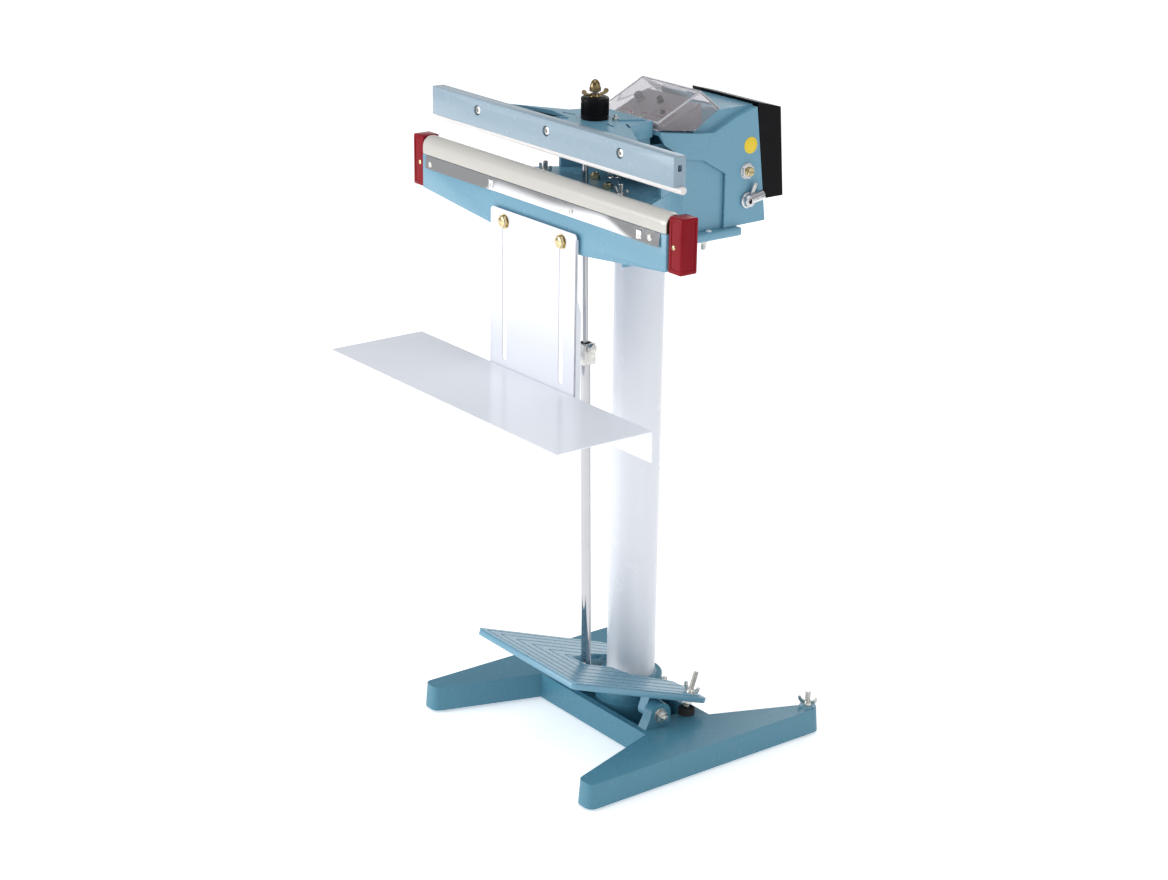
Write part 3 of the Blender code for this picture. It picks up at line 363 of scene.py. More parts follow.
def plate(outline, thickness, holes=(), turn=None, at=(0, 0, 0)):
    """A flat outline given thickness evenly to both sides of its plane."""
    curve = bpy.data.curves.new("outline", "CURVE")
    curve.dimensions = "2D"
    curve.fill_mode = "BOTH"
    curve.extrude = thickness / 2
    for loop in (outline, *holes):
        spline = curve.splines.new("POLY")
        spline.points.add(len(loop) - 1)
        for point, (a, b) in zip(spline.points, loop):
            point.co = (a, b, 0, 1)
        spline.use_cyclic_u = True
    drawn = shown("outline", curve)
    graph = bpy.context.evaluated_depsgraph_get()
    mesh = bpy.data.meshes.new_from_object(drawn.evaluated_get(graph))
    bpy.data.objects.remove(drawn)
    bpy.data.curves.remove(curve)
    bm = bmesh.new()
    bm.from_mesh(mesh)
    bpy.data.meshes.remove(mesh)
    bmesh.ops.remove_doubles(bm, verts=bm.verts, dist=0.00001)
    bmesh.ops.dissolve_limit(bm, angle_limit=math.radians(0.2), verts=bm.verts, edges=bm.edges)
    bmesh.ops.transform(bm, matrix=moved(*at, turn), verts=bm.verts)
    return bm


def arc(center, radius, start, end, count):
    """Points round part of a circle, angles in degrees."""
    angles = [math.radians(start + (end - start) * i / count) for i in range(count + 1)]
    return [(center[0] + radius * math.cos(a), center[1] + radius * math.sin(a)) for a in angles]


def tube(points, radius, sides=12):
    """A round wire along a list of points."""
    bm = bmesh.new()
    rings = []
    count = len(points)
    points = [Vector(p) for p in points]
    side = Vector((0, 0, 1))
    for i, point in enumerate(points):
        along = (points[min(i + 1, count - 1)] - points[max(i - 1, 0)]).normalized()
        side = (side - along * side.dot(along)).normalized()
        other = along.cross(side)
        angles = [math.tau * k / sides for k in range(sides)]
        rings.append([bm.verts.new(
            point + radius * (math.cos(a) * side + math.sin(a) * other)
        ) for a in angles])
    for lower, upper in zip(rings, rings[1:]):
        for k in range(sides):
            bm.faces.new((lower[k], lower[(k + 1) % sides], upper[(k + 1) % sides], upper[k]))
    bm.faces.new(rings[0])
    bm.faces.new(list(reversed(rings[-1])))
    bmesh.ops.recalc_face_normals(bm, faces=bm.faces)
    return bm


def sheet(skins):
    """A thin body between two skins, each of them rows of as many points."""
    bm = bmesh.new()
    outer, inner = ([[bm.verts.new(p) for p in row] for row in skin] for skin in skins)
    last = len(outer) - 1
    width = len(outer[0]) - 1
    for i in range(last):
        for k in range(width):
            bm.faces.new((outer[i][k], outer[i][k + 1], outer[i + 1][k + 1], outer[i + 1][k]))
            bm.faces.new((inner[i][k], inner[i + 1][k], inner[i + 1][k + 1], inner[i][k + 1]))
        for k in (0, width):
            bm.faces.new((outer[i][k], outer[i + 1][k], inner[i + 1][k], inner[i][k]))
    for i in (0, last):
        for k in range(width):
            bm.faces.new((outer[i][k], outer[i][k + 1], inner[i][k + 1], inner[i][k]))
    return bm


def ridges(bm, size, radius, height, count):
    """Adds upright ridges round a body."""
    for index in range(count):
        add(bm, block(size, (radius, 0, height)), Matrix.Rotation(math.tau * index / count, 4, "Z"))


def strut(start, stop, width, height, z):
    """A level bar between two places given as seen from above."""
    start = Vector(start)
    run = Vector(stop) - start
    at = start + run / 2
    return block((run.length, width, height), (*at, z), Matrix.Rotation(math.atan2(run.y, run.x), 3, "Z"))


ALONG_X = spin(90, "Y")
TO_FRONT = spin(90, "X")
SIDEWAYS = Euler((math.pi / 2, 0, math.pi / 2)).to_matrix()


# ---------------------------------------------------------------- fasteners
def thread(radius, low, high, pitch=0.0009):
    """A threaded stem with a chamfered tip at its high end."""
    count = int((high - low) / pitch)
    profile = [(0, low)]
    for i in range(count):
        profile += [(radius * 0.87, low + i * pitch), (radius, low + (i + 0.5) * pitch)]
    profile += [(radius * 0.80, high), (0, high)]
    return lathe(profile, 24)


def washer(radius, hole, thickness):
    return lathe([(radius, 0), (radius, thickness), (hole, thickness), (hole, 0)], 36, closed=True)


def hexagon(radius, hole, low, high, top, foot=(0, 0)):
    """A six-sided body, solid or round a hole. Each chamfer is given as its width and its height."""
    profile = [(hole, low), (radius - foot[0], low)]
    if foot[1]:
        profile.append((radius, low + foot[1]))
    profile += [(radius, high - top[1]), (radius - top[0], high), (hole, high)]
    return lathe(profile, 6, closed=hole > 0)


def hex_bolt(radius, height, shank, length):
    """A chamfered hexagon head on a washer face, with its threaded stem below."""
    bm = hexagon(radius, 0, 0.0004, height, (radius * 0.10, height * 0.16))
    add(bm, lathe([(0, 0), (radius * 0.84, 0), (radius * 0.84, 0.0005), (0, 0.0005)], 36))
    add(
        bm,
        lathe(
            [(0, height), (radius * 0.72, height), (radius * 0.66, height + 0.0002), (0, height + 0.0002)],
            36,
        ),
    )
    return add(bm, thread(shank, 0, length), Matrix.Rotation(math.pi, 4, "X"))


def wing_nut(reach, height, hole, wing=0.0022):
    """A tapered hub with two swept wings."""
    hub = reach * 0.42
    bm = lathe(
        [
            (hole, 0), (hub, 0), (hub, height * 0.08), (hub * 0.78, height * 0.52),
            (hub * 0.70, height * 0.56), (hole, height * 0.56),
        ],
        32, closed=True,
    )
    for side in (-1, 1):
        outline = [(side * hub * 0.62, 0.10 * height), (side * 0.70 * reach, 0.22 * height)]
        outline += [(side * 0.93 * reach, 0.52 * height)]
        lobe = arc((0.83 * reach, 0.83 * height), 0.17 * reach, -10, 190, 8)
        outline += [(side * x, z) for x, z in lobe]
        outline += [(side * 0.52 * reach, 0.62 * height), (side * hub * 0.62, 0.50 * height)]
        add(bm, plate(outline, wing, turn=TO_FRONT))
    return bm


def pan_head(radius, height):
    """A domed screw head standing on its own XY plane."""
    dome = [(radius * math.cos(a), height * math.sin(a)) for a in (math.radians(9 * i) for i in range(10))]
    dome = [(r, z + height * 0.25) for r, z in dome[:-1]]
    profile = [(0, 0), (radius, 0)] + dome + [(0, height * 1.25)]
    return lathe(profile, 28)


def cross_screw(name, body, slot, at, turn, radius, height):
    """A pan-head screw with a real cross recess."""
    bm = pan_head(radius, height)
    placed = moved(*at, turn)
    obj = shaped(name, bm, body, slot, at=at, turn=turn)
    tools = []
    for size in ((radius * 0.24, radius * 1.1, height), (radius * 1.1, radius * 0.24, height)):
        tool = block(size, (0, 0, height * 1.25))
        bmesh.ops.transform(tool, matrix=placed, verts=tool.verts)
        tools.append(tool)
    return cut(obj, *tools)


# ---------------------------------------------------------------- stand
def make_base():
    # The base casting wears the darkened copy of the blue paint: painted shade.
    refine("base_casting", 0.0016, 3, 38, material=SHADED_BASE_PAINT)
    for side in ("left", "right"):
        low, _, center = local(f"toe_wing_bolt_{side}")
        bm = lathe([(0, -0.001), (0.0108, -0.001), (0.0104, 0.0004), (0.0044, 0.0004), (0, 0.0004)], 40)
        at = (center.x, center.y, low.z - 0.0006)
        shaped(f"toe_spot_face_{side}", bm, "root", "blue_paint", at=at)
    for where in ("front_left", "front_right", "rear_left", "rear_right"):
        _, high, center = local(f"foot_{where}")
        side = 0.0108
        lip = 0.0112
        profile = [(0, high.z), (0.0104, high.z), (side, high.z - 0.0005), (side, 0.0116), (lip, 0.0110)]
        bm = lathe(profile + [(lip, 0.0100), (side, FLOOR_Z), (0, FLOOR_Z)], 48)
        redrawn(f"foot_{where}", bm, at=(center.x, center.y, 0))


def make_column():
    low, high, _ = local("column_tube")
    outer = (high.x - low.x) / 2
    inner = outer - 0.003
    edge = 0.0006
    bm = lathe(
        [
            (outer, low.z + edge), (outer - edge / 3, low.z), (inner, low.z), (inner, high.z),
            (outer - edge / 3, high.z), (outer, high.z - edge),
        ],
        112, closed=True,
    )
    redrawn("column_tube", bm)
    bead = ((0.0003, 0.0745), (0.0009, 0.0757), (0.0022, 0.0755), (0.0026, 0.0745))
    bm = lathe([(outer + out, z) for out, z in bead], 96, closed=True)
    shaped("column_seal_bead", bm, "root", "blue_paint")
    diagonal = Euler((0, math.pi / 2, math.radians(45))).to_matrix()
    bm = hex_bolt(0.0065, 0.006, 0.0031, 0.0082)
    redrawn("column_set_screw", bm, at=(0.0288, 0.0288, 0.062), turn=diagonal, edge=0.0003)


def make_stand_fasteners():
    turn = spin(35, "Z")
    for side in ("left", "right"):
        low, high, center = local(f"toe_wing_bolt_{side}")
        bm = wing_nut(0.0125, 0.011, 0.0034)
        add(bm, thread(0.0036, 0, high.z - low.z))
        at = (center.x, center.y, low.z)
        redrawn(f"toe_wing_bolt_{side}", bm, at=at, turn=turn, edge=0.0004, angle=50)
        low, high, center = local(f"pivot_bolt_{side}")
        sign = 1 if side == "right" else -1
        face = high.x - 0.0055 if sign > 0 else low.x + 0.0055
        bm = hex_bolt(0.0078, 0.0050, 0.0038, 0.033)
        add(bm, thread(0.0036, 0.0045, 0.0110))
        add(bm, washer(0.0098, 0.0038, 0.0010), moved(0, 0, -0.0012))
        at = (face, center.y, center.z)
        redrawn(f"pivot_bolt_{side}", bm, at=at, turn=spin(sign * 90, "Y"), edge=0.0003)
    low, high, center = local("stop_pad")
    height = high.z - low.z
    outline = (
        (0, 0), (0.0105, 0), (0.0105, 0.30), (0.0100, 0.36), (0.0100, 0.5), (0.0105, 0.56), (0.0105, 0.85),
        (0.0095, 1), (0.004, 1), (0, 0.9),
    )
    bm = lathe([(radius, height * share) for radius, share in outline], 44)
    redrawn("stop_pad", bm, at=(center.x, center.y, low.z))


# ---------------------------------------------------------------- pedal
PEDAL_TILT = math.radians(20)
TILTED = Matrix.Rotation(-PEDAL_TILT, 3, "X")
TREADLE_FRONT = Vector((0, -0.1664, 0.1349))
TREADLE_HALF_WIDTH = 0.0998
NOTCH_ALONG = 0.1771
NOTCH_RADIUS = 0.044
KEYHOLE_ALONG = 0.0885
RIB_END = 0.2085


def rib_end(x, side):
    """How far back a rib runs on one side: it stops short of the notch and of the rod's opening."""
    clear = NOTCH_RADIUS + 0.0045
    end = RIB_END
    if x < clear:
        end = NOTCH_ALONG - math.sqrt(clear * clear - x * x)
    if side < 0 and x < 0.040:
        end = min(end, KEYHOLE_ALONG - 0.003 + (x - 0.010) * 1.7)
    elif side < 0 and x < 0.046:
        end = min(end, 0.137)
    return end


def make_pedal():
    refine("pedal", 0.0012, 3, 40)
    rise = 0.0015
    slope = 0.0002
    half_groove = 0.0009
    face = 0.0035
    insets = (0.0005, 0.0085, 0.0210, 0.0350, 0.0500, 0.0650, 0.0800, 0.0865)
    bm = bmesh.new()
    for outer, inner in zip(insets, insets[1:]):
        rails = (
            (outer + half_groove - slope, face - 0.0004), (outer + half_groove, face + rise),
            (inner - half_groove, face + rise), (inner - half_groove + slope, face - 0.0004),
        )
        loops = []
        for inset, height in rails:
            x = TREADLE_HALF_WIDTH - inset
            far = rib_end(x, -1)
            near = rib_end(x, 1)
            corners = ((-x, far, height), (-x, inset, height), (x, inset, height), (x, near, height))
            loops.append([bm.verts.new(p) for p in corners])
        for low_rail, high_rail in zip(loops, loops[1:]):
            for i in range(3):
                bm.faces.new((low_rail[i], low_rail[i + 1], high_rail[i + 1], high_rail[i]))
        for i in range(3):
            bm.faces.new((loops[3][i], loops[3][i + 1], loops[0][i + 1], loops[0][i]))
        bm.faces.new([loop[0] for loop in loops])
        bm.faces.new([loop[3] for loop in reversed(loops)])
    shaped("treadle_ribs", bm, "pedal", "blue_paint", at=TREADLE_FRONT, turn=TILTED, edge=0.0002)

    stop = TREADLE_FRONT + TILTED @ Vector((0.090, 0.200, 0))
    bm = thread(0.0034, -0.0135, 0.0329)
    redrawn("stop_bolt", bm, at=stop, turn=TILTED)
    bm = wing_nut(0.0140, 0.012, 0.0034)
    lift = TILTED @ Vector((0, 0, 0.0038))
    redrawn("stop_wing_nut", bm, at=stop + lift, turn=TILTED, edge=0.0004, angle=50)
    profile = [(0.0066, 0), (0.0066, 0.0042), (0.0060, 0.0048), (0.0033, 0.0048), (0.0033, 0)]
    bm = lathe(profile, 6, closed=True)
    below = TILTED @ Vector((0, 0, -0.0086))
    shaped("stop_lock_nut", bm, "pedal", "zinc", at=stop + below, turn=TILTED, edge=0.0003)


# ---------------------------------------------------------------- pull rod
ROD_Y = -0.0715
ROD_LEVEL = 0.115
ROD_LEAN = 0.0209
ROD_BOTTOM = 0.078
UPPER_ROD_BOTTOM = 0.440
LEAN_STRETCH = 1.0002  # the length of a rod that leans so, for each unit of its height


def rod_place(z, level):
    """A place at height z, as far forward as the rod's leaning line is at another level."""
    return Vector((0, ROD_Y - ROD_LEAN * (level - ROD_LEVEL), z))


def make_rod():
    lean = Matrix.Rotation(math.atan(ROD_LEAN), 3, "X")
    low, high, _ = local("lower_rod")
    foot = rod_place(ROD_BOTTOM, low.z)
    length = (high.z - ROD_BOTTOM) * LEAN_STRETCH
    outer = 0.006
    inner = 0.0042
    bm = lathe(
        [
            (outer - 0.0006, 0), (outer, 0.0006), (outer, length - 0.0006), (outer - 0.0006, length),
            (inner, length), (inner, 0),
        ],
        56, closed=True,
    )
    redrawn("lower_rod", bm, at=foot, turn=lean, material=ROD_STEEL)
    foot = rod_place(UPPER_ROD_BOTTOM, UPPER_ROD_BOTTOM)
    length = (local("upper_rod")[1].z - UPPER_ROD_BOTTOM) * LEAN_STRETCH
    plain = length - 0.020
    outer = 0.0035
    bm = lathe([(0, 0), (outer - 0.0003, 0), (outer, 0.0004), (outer, plain), (0, plain)], 40)
    add(bm, thread(outer, plain, length))
    redrawn("upper_rod", bm, at=foot, turn=lean, material=ROD_STEEL)
    clamp = refine("rod_clamp", 0.0016, 4, 50)
    center = local("rod_clamp")[2]
    cut(clamp, block((0.0012, 0.020, 0.040), (0, center.y - 0.0105, center.z)))
    _, high, center = local("clamp_bolt")
    at = (high.x - 0.006, center.y, center.z)
    redrawn("clamp_bolt", hex_bolt(0.0062, 0.0058, 0.0027, 0.0033), at=at, turn=ALONG_X, edge=0.0003)
    center = local("rod_end_nut")[2]
    bm = hexagon(0.0095, 0.0063, -0.005, 0.005, (0.0009, 0.0008), (0.0009, 0.0008))
    redrawn("rod_end_nut", bm, at=center, turn=lean, edge=0.0003)
    refine("rod_yoke", 0.0008, 3, 50)


# ---------------------------------------------------------------- head
def deck_nut(reach, length):
    """A wing nut and its washer on the end of a stud."""
    bm = wing_nut(reach, 0.012, 0.0029)
    add(bm, thread(0.003, 0, length))
    return add(bm, washer(0.0085, 0.003, 0.0010), moved(0, 0, -0.0003))


def make_frame():
    refine("mounting_flange", 0.0008, 2, 60)
    refine("head_frame", 0.0012, 3, 40)
    refine("arm_pivot_shaft", 0)
    refine("microswitch", 0.0005, 2, 50)
    low, high, center = local("jaw_wing_nut")
    bm = deck_nut(0.012, high.z - low.z)
    deck = low.z
    seat = deck + 0.0003
    redrawn("jaw_wing_nut", bm, at=(center.x, center.y, seat), edge=0.0004, angle=50)
    bm = deck_nut(0.0125, 0.017)
    shaped("jaw_wing_nut_near", bm, "root", "zinc", at=(0.072, -0.088, seat), edge=0.0004, angle=50)
    for word, x, y in (("near", 0.025, -0.070), ("far", -0.023, -0.052)):
        bm = hexagon(0.0062, 0, 0, 0.0050, (0.0007, 0.0005))
        add(bm, pan_head(0.0042, 0.0022), moved(0, 0, 0.0050))
        shaped(f"terminal_screw_{word}", bm, "root", "yellow_zinc", at=(x, y, deck), edge=0.0003)


def make_spring():
    low, high, center = local("return_spring")
    turns = 6
    steps = 28
    wire = 0.0008
    radius = 0.0075
    bottom = low.z + wire
    height = high.z - low.z - 2 * wire
    points = []
    for i in range(turns * steps + 1):
        share = i / (turns * steps)
        angle = math.tau * i / steps
        points.append((radius * math.cos(angle), radius * math.sin(angle), bottom + height * share))
    obj = redrawn("return_spring", tube(points, wire, 10), at=(0, center.y, 0))
    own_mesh(obj)


def make_cloth():
    """The cloth over the jaw: an arch drawn in a little at its two ends, faintly rippled."""
    low, high, center = local("ptfe_cover")
    half_length = high.x
    across = (high.y - low.y) / 2
    rise = 0.013
    spring_line = high.z - rise
    thickness = 0.0009
    stations = 96
    around = 26
    skins = ([], [])
    for i in range(stations + 1):
        x = half_length * (2 * i / stations - 1)
        end = min(1.0, (half_length - abs(x)) / 0.0035)
        shrink = 1 - 0.10 * (1 - end) ** 2
        for skin, inset in zip(skins, (0.0, thickness)):
            half = (across - inset) * shrink
            row = [(x, half, low.z)]
            for k in range(around + 1):
                angle = math.pi * k / around
                ripple = 0.00010 * math.sin(x * 410 + 2 * angle) * math.sin(angle)
                height = ((rise - inset) * math.sin(angle) + ripple - 0.00012) * shrink
                row.append((x, half * math.cos(angle), spring_line + height))
            row.append((x, -half, low.z))
            skin.append(row)
    redrawn("ptfe_cover", sheet(skins), at=(0, center.y, 0))


STRIP_END = 0.225
STRIP_BOTTOM = 0.699
STRIP_HEIGHT = 0.0156
STRIP_BACK_Y = -0.1537
STRIP_SHEET = 0.0006
CLIP_X = (("left", -0.0882), ("right", 0.1900))
STRIP_SCREWS = (("far", -0.2147, 0.7050), ("middle", 0.0666, 0.7050), ("near", 0.2085, 0.7065))


def eased(value, start, stop):
    """A smooth step from 0 to 1."""
    share = min(1.0, max(0.0, (value - start) / (stop - start)))
    return share * share * (3 - 2 * share)


def strip_face(x, z):
    """The front of the springy strip: it stands off the jaw at the foot, more so towards its ends."""
    far = eased(-x, 0.075, 0.115)
    near = eased(x, 0.120, 0.200)
    lean = 0.025 + 0.085 * far + 0.095 * near + 0.008 * math.sin(31 * x + 0.8)
    v = (z - STRIP_BOTTOM) / STRIP_HEIGHT
    bulge = 0.00012 + 0.00006 * (far + near)
    return STRIP_BACK_Y - STRIP_SHEET - lean * STRIP_HEIGHT * (1 - v) - bulge * 4 * v * (1 - v)


def make_strip():
    """The bright strip that clamps the cloth: a thin springy sheet, uneven along its length."""
    stations = 150
    rows = 14
    places = [STRIP_END * (2 * i / stations - 1) for i in range(stations + 1)]
    heights = [STRIP_BOTTOM + STRIP_HEIGHT * k / rows for k in range(rows + 1)]
    skins = [
        [[(x, strip_face(x, z) + lift, z) for z in heights] for x in places] for lift in (0.0, STRIP_SHEET)
    ]
    redrawn("front_strip", sheet(skins))


def make_jaw():
    refine("jaw_casting", 0.0016, 3, 40)
    refine("jaw_insulator", 0)
    refine("heating_strip", 0)
    make_cloth()
    make_strip()
    middle_z = STRIP_BOTTOM + 0.0068
    for word, x in CLIP_X:
        front = strip_face(x, middle_z)
        bm = block((0.0085, 0.0007, 0.0098), (x, front - 0.0001, middle_z))
        roll = [(x + dx, front - 0.0004, STRIP_BOTTOM + 0.0122) for dx in (-0.0042, 0.0042)]
        add(bm, tube(roll, 0.0009, 14))
        shaped(f"strip_clip_{word}", bm, "root", "chrome", edge=0.0002)
        head = (x + 0.0010, front - 0.0004, STRIP_BOTTOM + 0.0052)
        cross_screw(f"clip_screw_{word}", "root", "zinc", head, TO_FRONT, 0.0027, 0.0006)
    for word, x, z in STRIP_SCREWS:
        front = strip_face(x, z)
        bm = washer(0.0036, 0.0012, 0.0005)
        shaped(f"strip_washer_{word}", bm, "root", "zinc", at=(x, front, z), turn=TO_FRONT)
        cross_screw(f"strip_screw_{word}", "root", "zinc", (x, front - 0.0004, z), TO_FRONT, 0.0026, 0.0008)

    for word in ("left", "right"):
        low, _, center = local(f"plate_bolt_{word}")
        at = (center.x, low.y + 0.005, center.z)
        bm = hex_bolt(0.0078, 0.0046, 0.0031, 0.011)
        add(bm, washer(0.0090, 0.0031, 0.0002), moved(0, 0, -0.0001))
        redrawn(f"plate_bolt_{word}", bm, at=at, turn=TO_FRONT, edge=0.0004)


RECESS = 0.0012


def make_caps():
    for word, side in (("left", -1), ("right", 1)):
        cap = refine(f"end_cap_{word}", 0.0009, 3, 50)
        low, high, center = local(f"end_cap_{word}")
        outer = high.x if side > 0 else low.x
        wide, deep, tall = high - low
        recess = block((RECESS, deep - 0.0080, tall - 0.0090), (outer, center.y, center.z))
        front = block((wide - 0.0090, RECESS, tall - 0.0090), (center.x + side * 0.0002, low.y, center.z))
        cut(cap, recess, front)
        head = (center.x - side * 0.0027, low.y + 0.0009, center.z - 0.0020)
        cross_screw(f"cap_screw_{word}", "root", "yellow_zinc", head, TO_FRONT, 0.0030, 0.0012)


CASING_SIDE = 0.060


def make_casing():
    refine("head_casing", 0.0022, 4, 30)
    rear = refine("rear_cover", 0.0014, 3, 30)
    turn = Matrix.Rotation(math.atan2(0.0088, 0.1087), 3, "X")
    center = Vector((0, local("rear_cover")[1].y - 0.0071, 0.7375))
    slots = 9
    pitch = 0.007
    tools = []
    for index in range(slots):
        tool = block((0.072, 0.0040, 0.0030), (0, 0.0040, pitch * (index - (slots - 1) / 2)))
        bmesh.ops.transform(tool, matrix=moved(*center, turn), verts=tool.verts)
        tools.append(tool)
    cut(rear, *tools)
    bm = block((0.1135, 0.0016, 0.0285))
    at = (0, 0.1392, 0.6665)
    slope = spin(7.4, "X")
    shaped("casing_back_plate", bm, "root", "blue_paint", at=at, turn=slope, edge=0.0004, segments=3)
    behind = turn @ spin(-90, "X")
    for word, across in (("far", -0.0465), ("near", 0.0465)):
        for level, height in (("low", -0.034), ("high", 0.034)):
            at = center + turn @ Vector((across, 0.0026, height))
            cross_screw(f"rear_screw_{word}_{level}", "root", "zinc", at, behind, 0.0028, 0.0010)
    bm = lathe([(0, 0), (0.0100, 0), (0.0100, 0.00025), (0.0097, 0.0004), (0, 0.0004)], 56)
    add(bm, washer(0.0084, 0.0079, 0.00055))
    at = (CASING_SIDE, 0.1155, 0.7465)
    shaped("plain_label", bm, "root", "yellow_zinc", at=at, turn=ALONG_X, material=LABEL)


def on_side(node):
    """Where a node's middle line meets the casing's side."""
    return Vector((CASING_SIDE, *local(node)[2].yz))


def make_fittings():
    at = on_side("fuse_holder")
    bm = hexagon(0.0096, 0.0060, 0.0003, 0.0044, (0.0008, 0.0008), (0.0004, 0.0005))
    add(bm, washer(0.0100, 0.006, 0.0006), moved(0, 0, 0.0001))
    shaped("fuse_nut", bm, "root", "chrome", at=at, turn=ALONG_X, edge=0.0003)
    profile = [(0, -0.016), (0.0056, -0.016), (0.0056, 0.0050), (0.0052, 0.0054), (0.0052, 0.0078)]
    bm = lathe(profile + [(0.0046, 0.0085), (0, 0.0085)], 48)
    for x, y in arc((0, 0), 0.0053, 0, 342, 19):
        add(bm, block((0.0006, 0.0006, 0.0026), (x, y, 0.0064)))
    cap = shaped("fuse_holder_finished", bm, "root", "yellow_zinc", "fuse_holder", at=at, turn=ALONG_X)
    cut(cap, block((0.0030, 0.0068, 0.0011), at + Vector((0.0085, 0, 0))))

    at = on_side("cable_gland")
    hole = 0.0036
    body = [(hole, -0.010), (0.0058, -0.010), (0.0058, 0.0004), (0.0096, 0.0004), (0.0099, 0.0010)]
    body += [(0.0099, 0.0032), (0.0090, 0.0040), (hole, 0.0040)]
    bm = lathe(body, 48, closed=True)
    crown = [(hole, 0.0040), (0.0078, 0.0040), (0.0078, 0.0072), (0.0070, 0.0084), (0.0048, 0.0088)]
    add(bm, lathe(crown + [(hole, 0.0088)], 48, closed=True))
    redrawn("cable_gland", bm, at=at, turn=ALONG_X, edge=0.0002)
    rise = math.radians(12)
    backwards = Matrix.Rotation(rise - math.pi / 2, 3, "X")
    bore = 0.0038
    wall = 0.0062
    barrel = [(bore, 0), (0.0057, 0), (wall, 0.0006), (wall, 0.0204), (0.0057, 0.0210), (0.0043, 0.0210)]
    bm = lathe(barrel + [(bore, 0.0204)], 44, closed=True)
    tube_at = at + Vector((0.0064, -0.0012, 0.0010))
    outlet = shaped("gland_outlet", bm, "root", "chrome", at=tube_at, turn=backwards)
    slit_at = tube_at + backwards @ Vector((0.004, 0, 0.0150))
    cut(outlet, block((0.010, 0.016, 0.0011), slit_at, Matrix.Rotation(rise, 3, "X")))
    outline = [(-0.0022, 0.004), (0.0022, 0.004)] + arc((0, 0.0195), 0.0030, 0, 180, 10)
    leaning = SIDEWAYS @ spin(-24, "Z")
    bm = plate(outline, 0.0012, turn=leaning, at=at + Vector((0.0052, 0.0006, 0)))
    shaped("gland_clamp_arm", bm, "root", "chrome", edge=0.0003)
    head = at + Vector((0.0058, 0.0085, 0.0178))
    cross_screw("gland_clamp_screw", "root", "zinc", head, ALONG_X, 0.0022, 0.0010)

    refine("transformer_core", 0.0008, 2, 50)
    refine("transformer_coil", 0)
    refine("timer_board", 0)
    low, high, _ = local("mounting_flange")
    cross_screw("flange_screw", "root", "column_paint", (0.0605, 0.0540, high.z), None, 0.0036, 0.0018)
    bm = hexagon(0.0052, 0.0030, 0, 0.0042, (0.0006, 0.0006))
    add(bm, thread(0.0031, -0.001, 0.0120))
    below = spin(180, "X")
    shaped("flange_bolt_end", bm, "root", "zinc", at=(0.0555, 0.0510, low.z), turn=below, edge=0.0003)


# ---------------------------------------------------------------- control panel and its cover
KNOB_AT = {"timer_knob": Vector((-0.0359, 0.0232, 0.7950)), "mode_knob": Vector((-0.0007, 0.0267, 0.7964))}
ON_PANEL = Matrix.Rotation(math.atan(0.3889), 3, "X")
PANEL_FRONT = Vector((0, -0.0105, 0.7815))


def on_panel(x, along, above=0.0):
    return PANEL_FRONT + ON_PANEL @ Vector((x, along, above))


def make_panel():
    refine("control_panel", 0.0005, 2, 40)
    marks = bmesh.new()
    for center, ring_radius, first, last, count in (
        (Vector((-0.0359, 0.0232, 0.7943)), 0.0108, -60, 240, 11),
        (Vector((-0.0007, 0.0267, 0.7957)), 0.0090, -45, 225, 7),
    ):
        for index in range(count):
            angle = math.radians(first + (last - first) * index / (count - 1))
            turn = ON_PANEL @ Matrix.Rotation(angle, 3, "Z")
            spot = center + turn @ Vector((ring_radius, 0, 0))
            add(marks, block((0.0022, 0.0005, 0.0003)), moved(*spot, turn))
    shaped("panel_scale_marks", marks, "root", "black_plastic")
    frame_marks = bmesh.new()
    for x, along, wide, deep in (
        (0.0255, 0.0300, 0.0270, 0.0008), (0.0255, 0.0130, 0.0270, 0.0008),
        (0.0125, 0.0215, 0.0008, 0.0170), (0.0385, 0.0215, 0.0008, 0.0170),
        (-0.0359, 0.0115, 0.0150, 0.0010), (-0.0007, 0.0135, 0.0110, 0.0010),
    ):
        add(frame_marks, block((wide, deep, 0.0003)), moved(*on_panel(x, along), ON_PANEL))
    shaped("panel_lines", frame_marks, "root", "red_plastic")
    lens = 0.0021
    for word, x, along, material in (
        ("heat", -0.0200, 0.0085, LAMP_RED), ("power", 0.0030, 0.0065, LAMP_GREEN),
    ):
        at = on_panel(x, along)
        profile = [(0, -0.0005), (lens, -0.0005), (lens, 0.0008), (0.0016, 0.0018), (0.0008, 0.0023)]
        bm = lathe(profile + [(0, 0.0024)], 28)
        shaped(f"lamp_{word}", bm, "root", "red_plastic", at=at, turn=ON_PANEL, material=material)
        profile = [(lens, 0), (0.0030, 0), (0.0030, 0.0005), (0.0026, 0.0009), (lens, 0.0009)]
        bm = lathe(profile, 32, closed=True)
        shaped(f"lamp_ring_{word}", bm, "root", "chrome", at=at, turn=ON_PANEL)
    for index, (x, along) in enumerate(((-0.045, 0.004), (0.045, 0.004), (-0.045, 0.056), (0.045, 0.056))):
        at = on_panel(x, along, 0.0001)
        cross_screw(f"panel_screw_{index + 1}", "root", "zinc", at, ON_PANEL, 0.0020, 0.0007)
    bm = lathe([(0, -0.001), (0.0030, -0.001), (0.0030, 0.0018), (0.0026, 0.0024), (0, 0.0024)], 32)
    add(bm, block((0.0060, 0.0024, 0.0022), (0, 0, 0.0032)))
    at = on_panel(0.0255, 0.0215)
    shaped("rocker_switch", bm, "root", "black_plastic", at=at, turn=ON_PANEL, edge=0.0003)


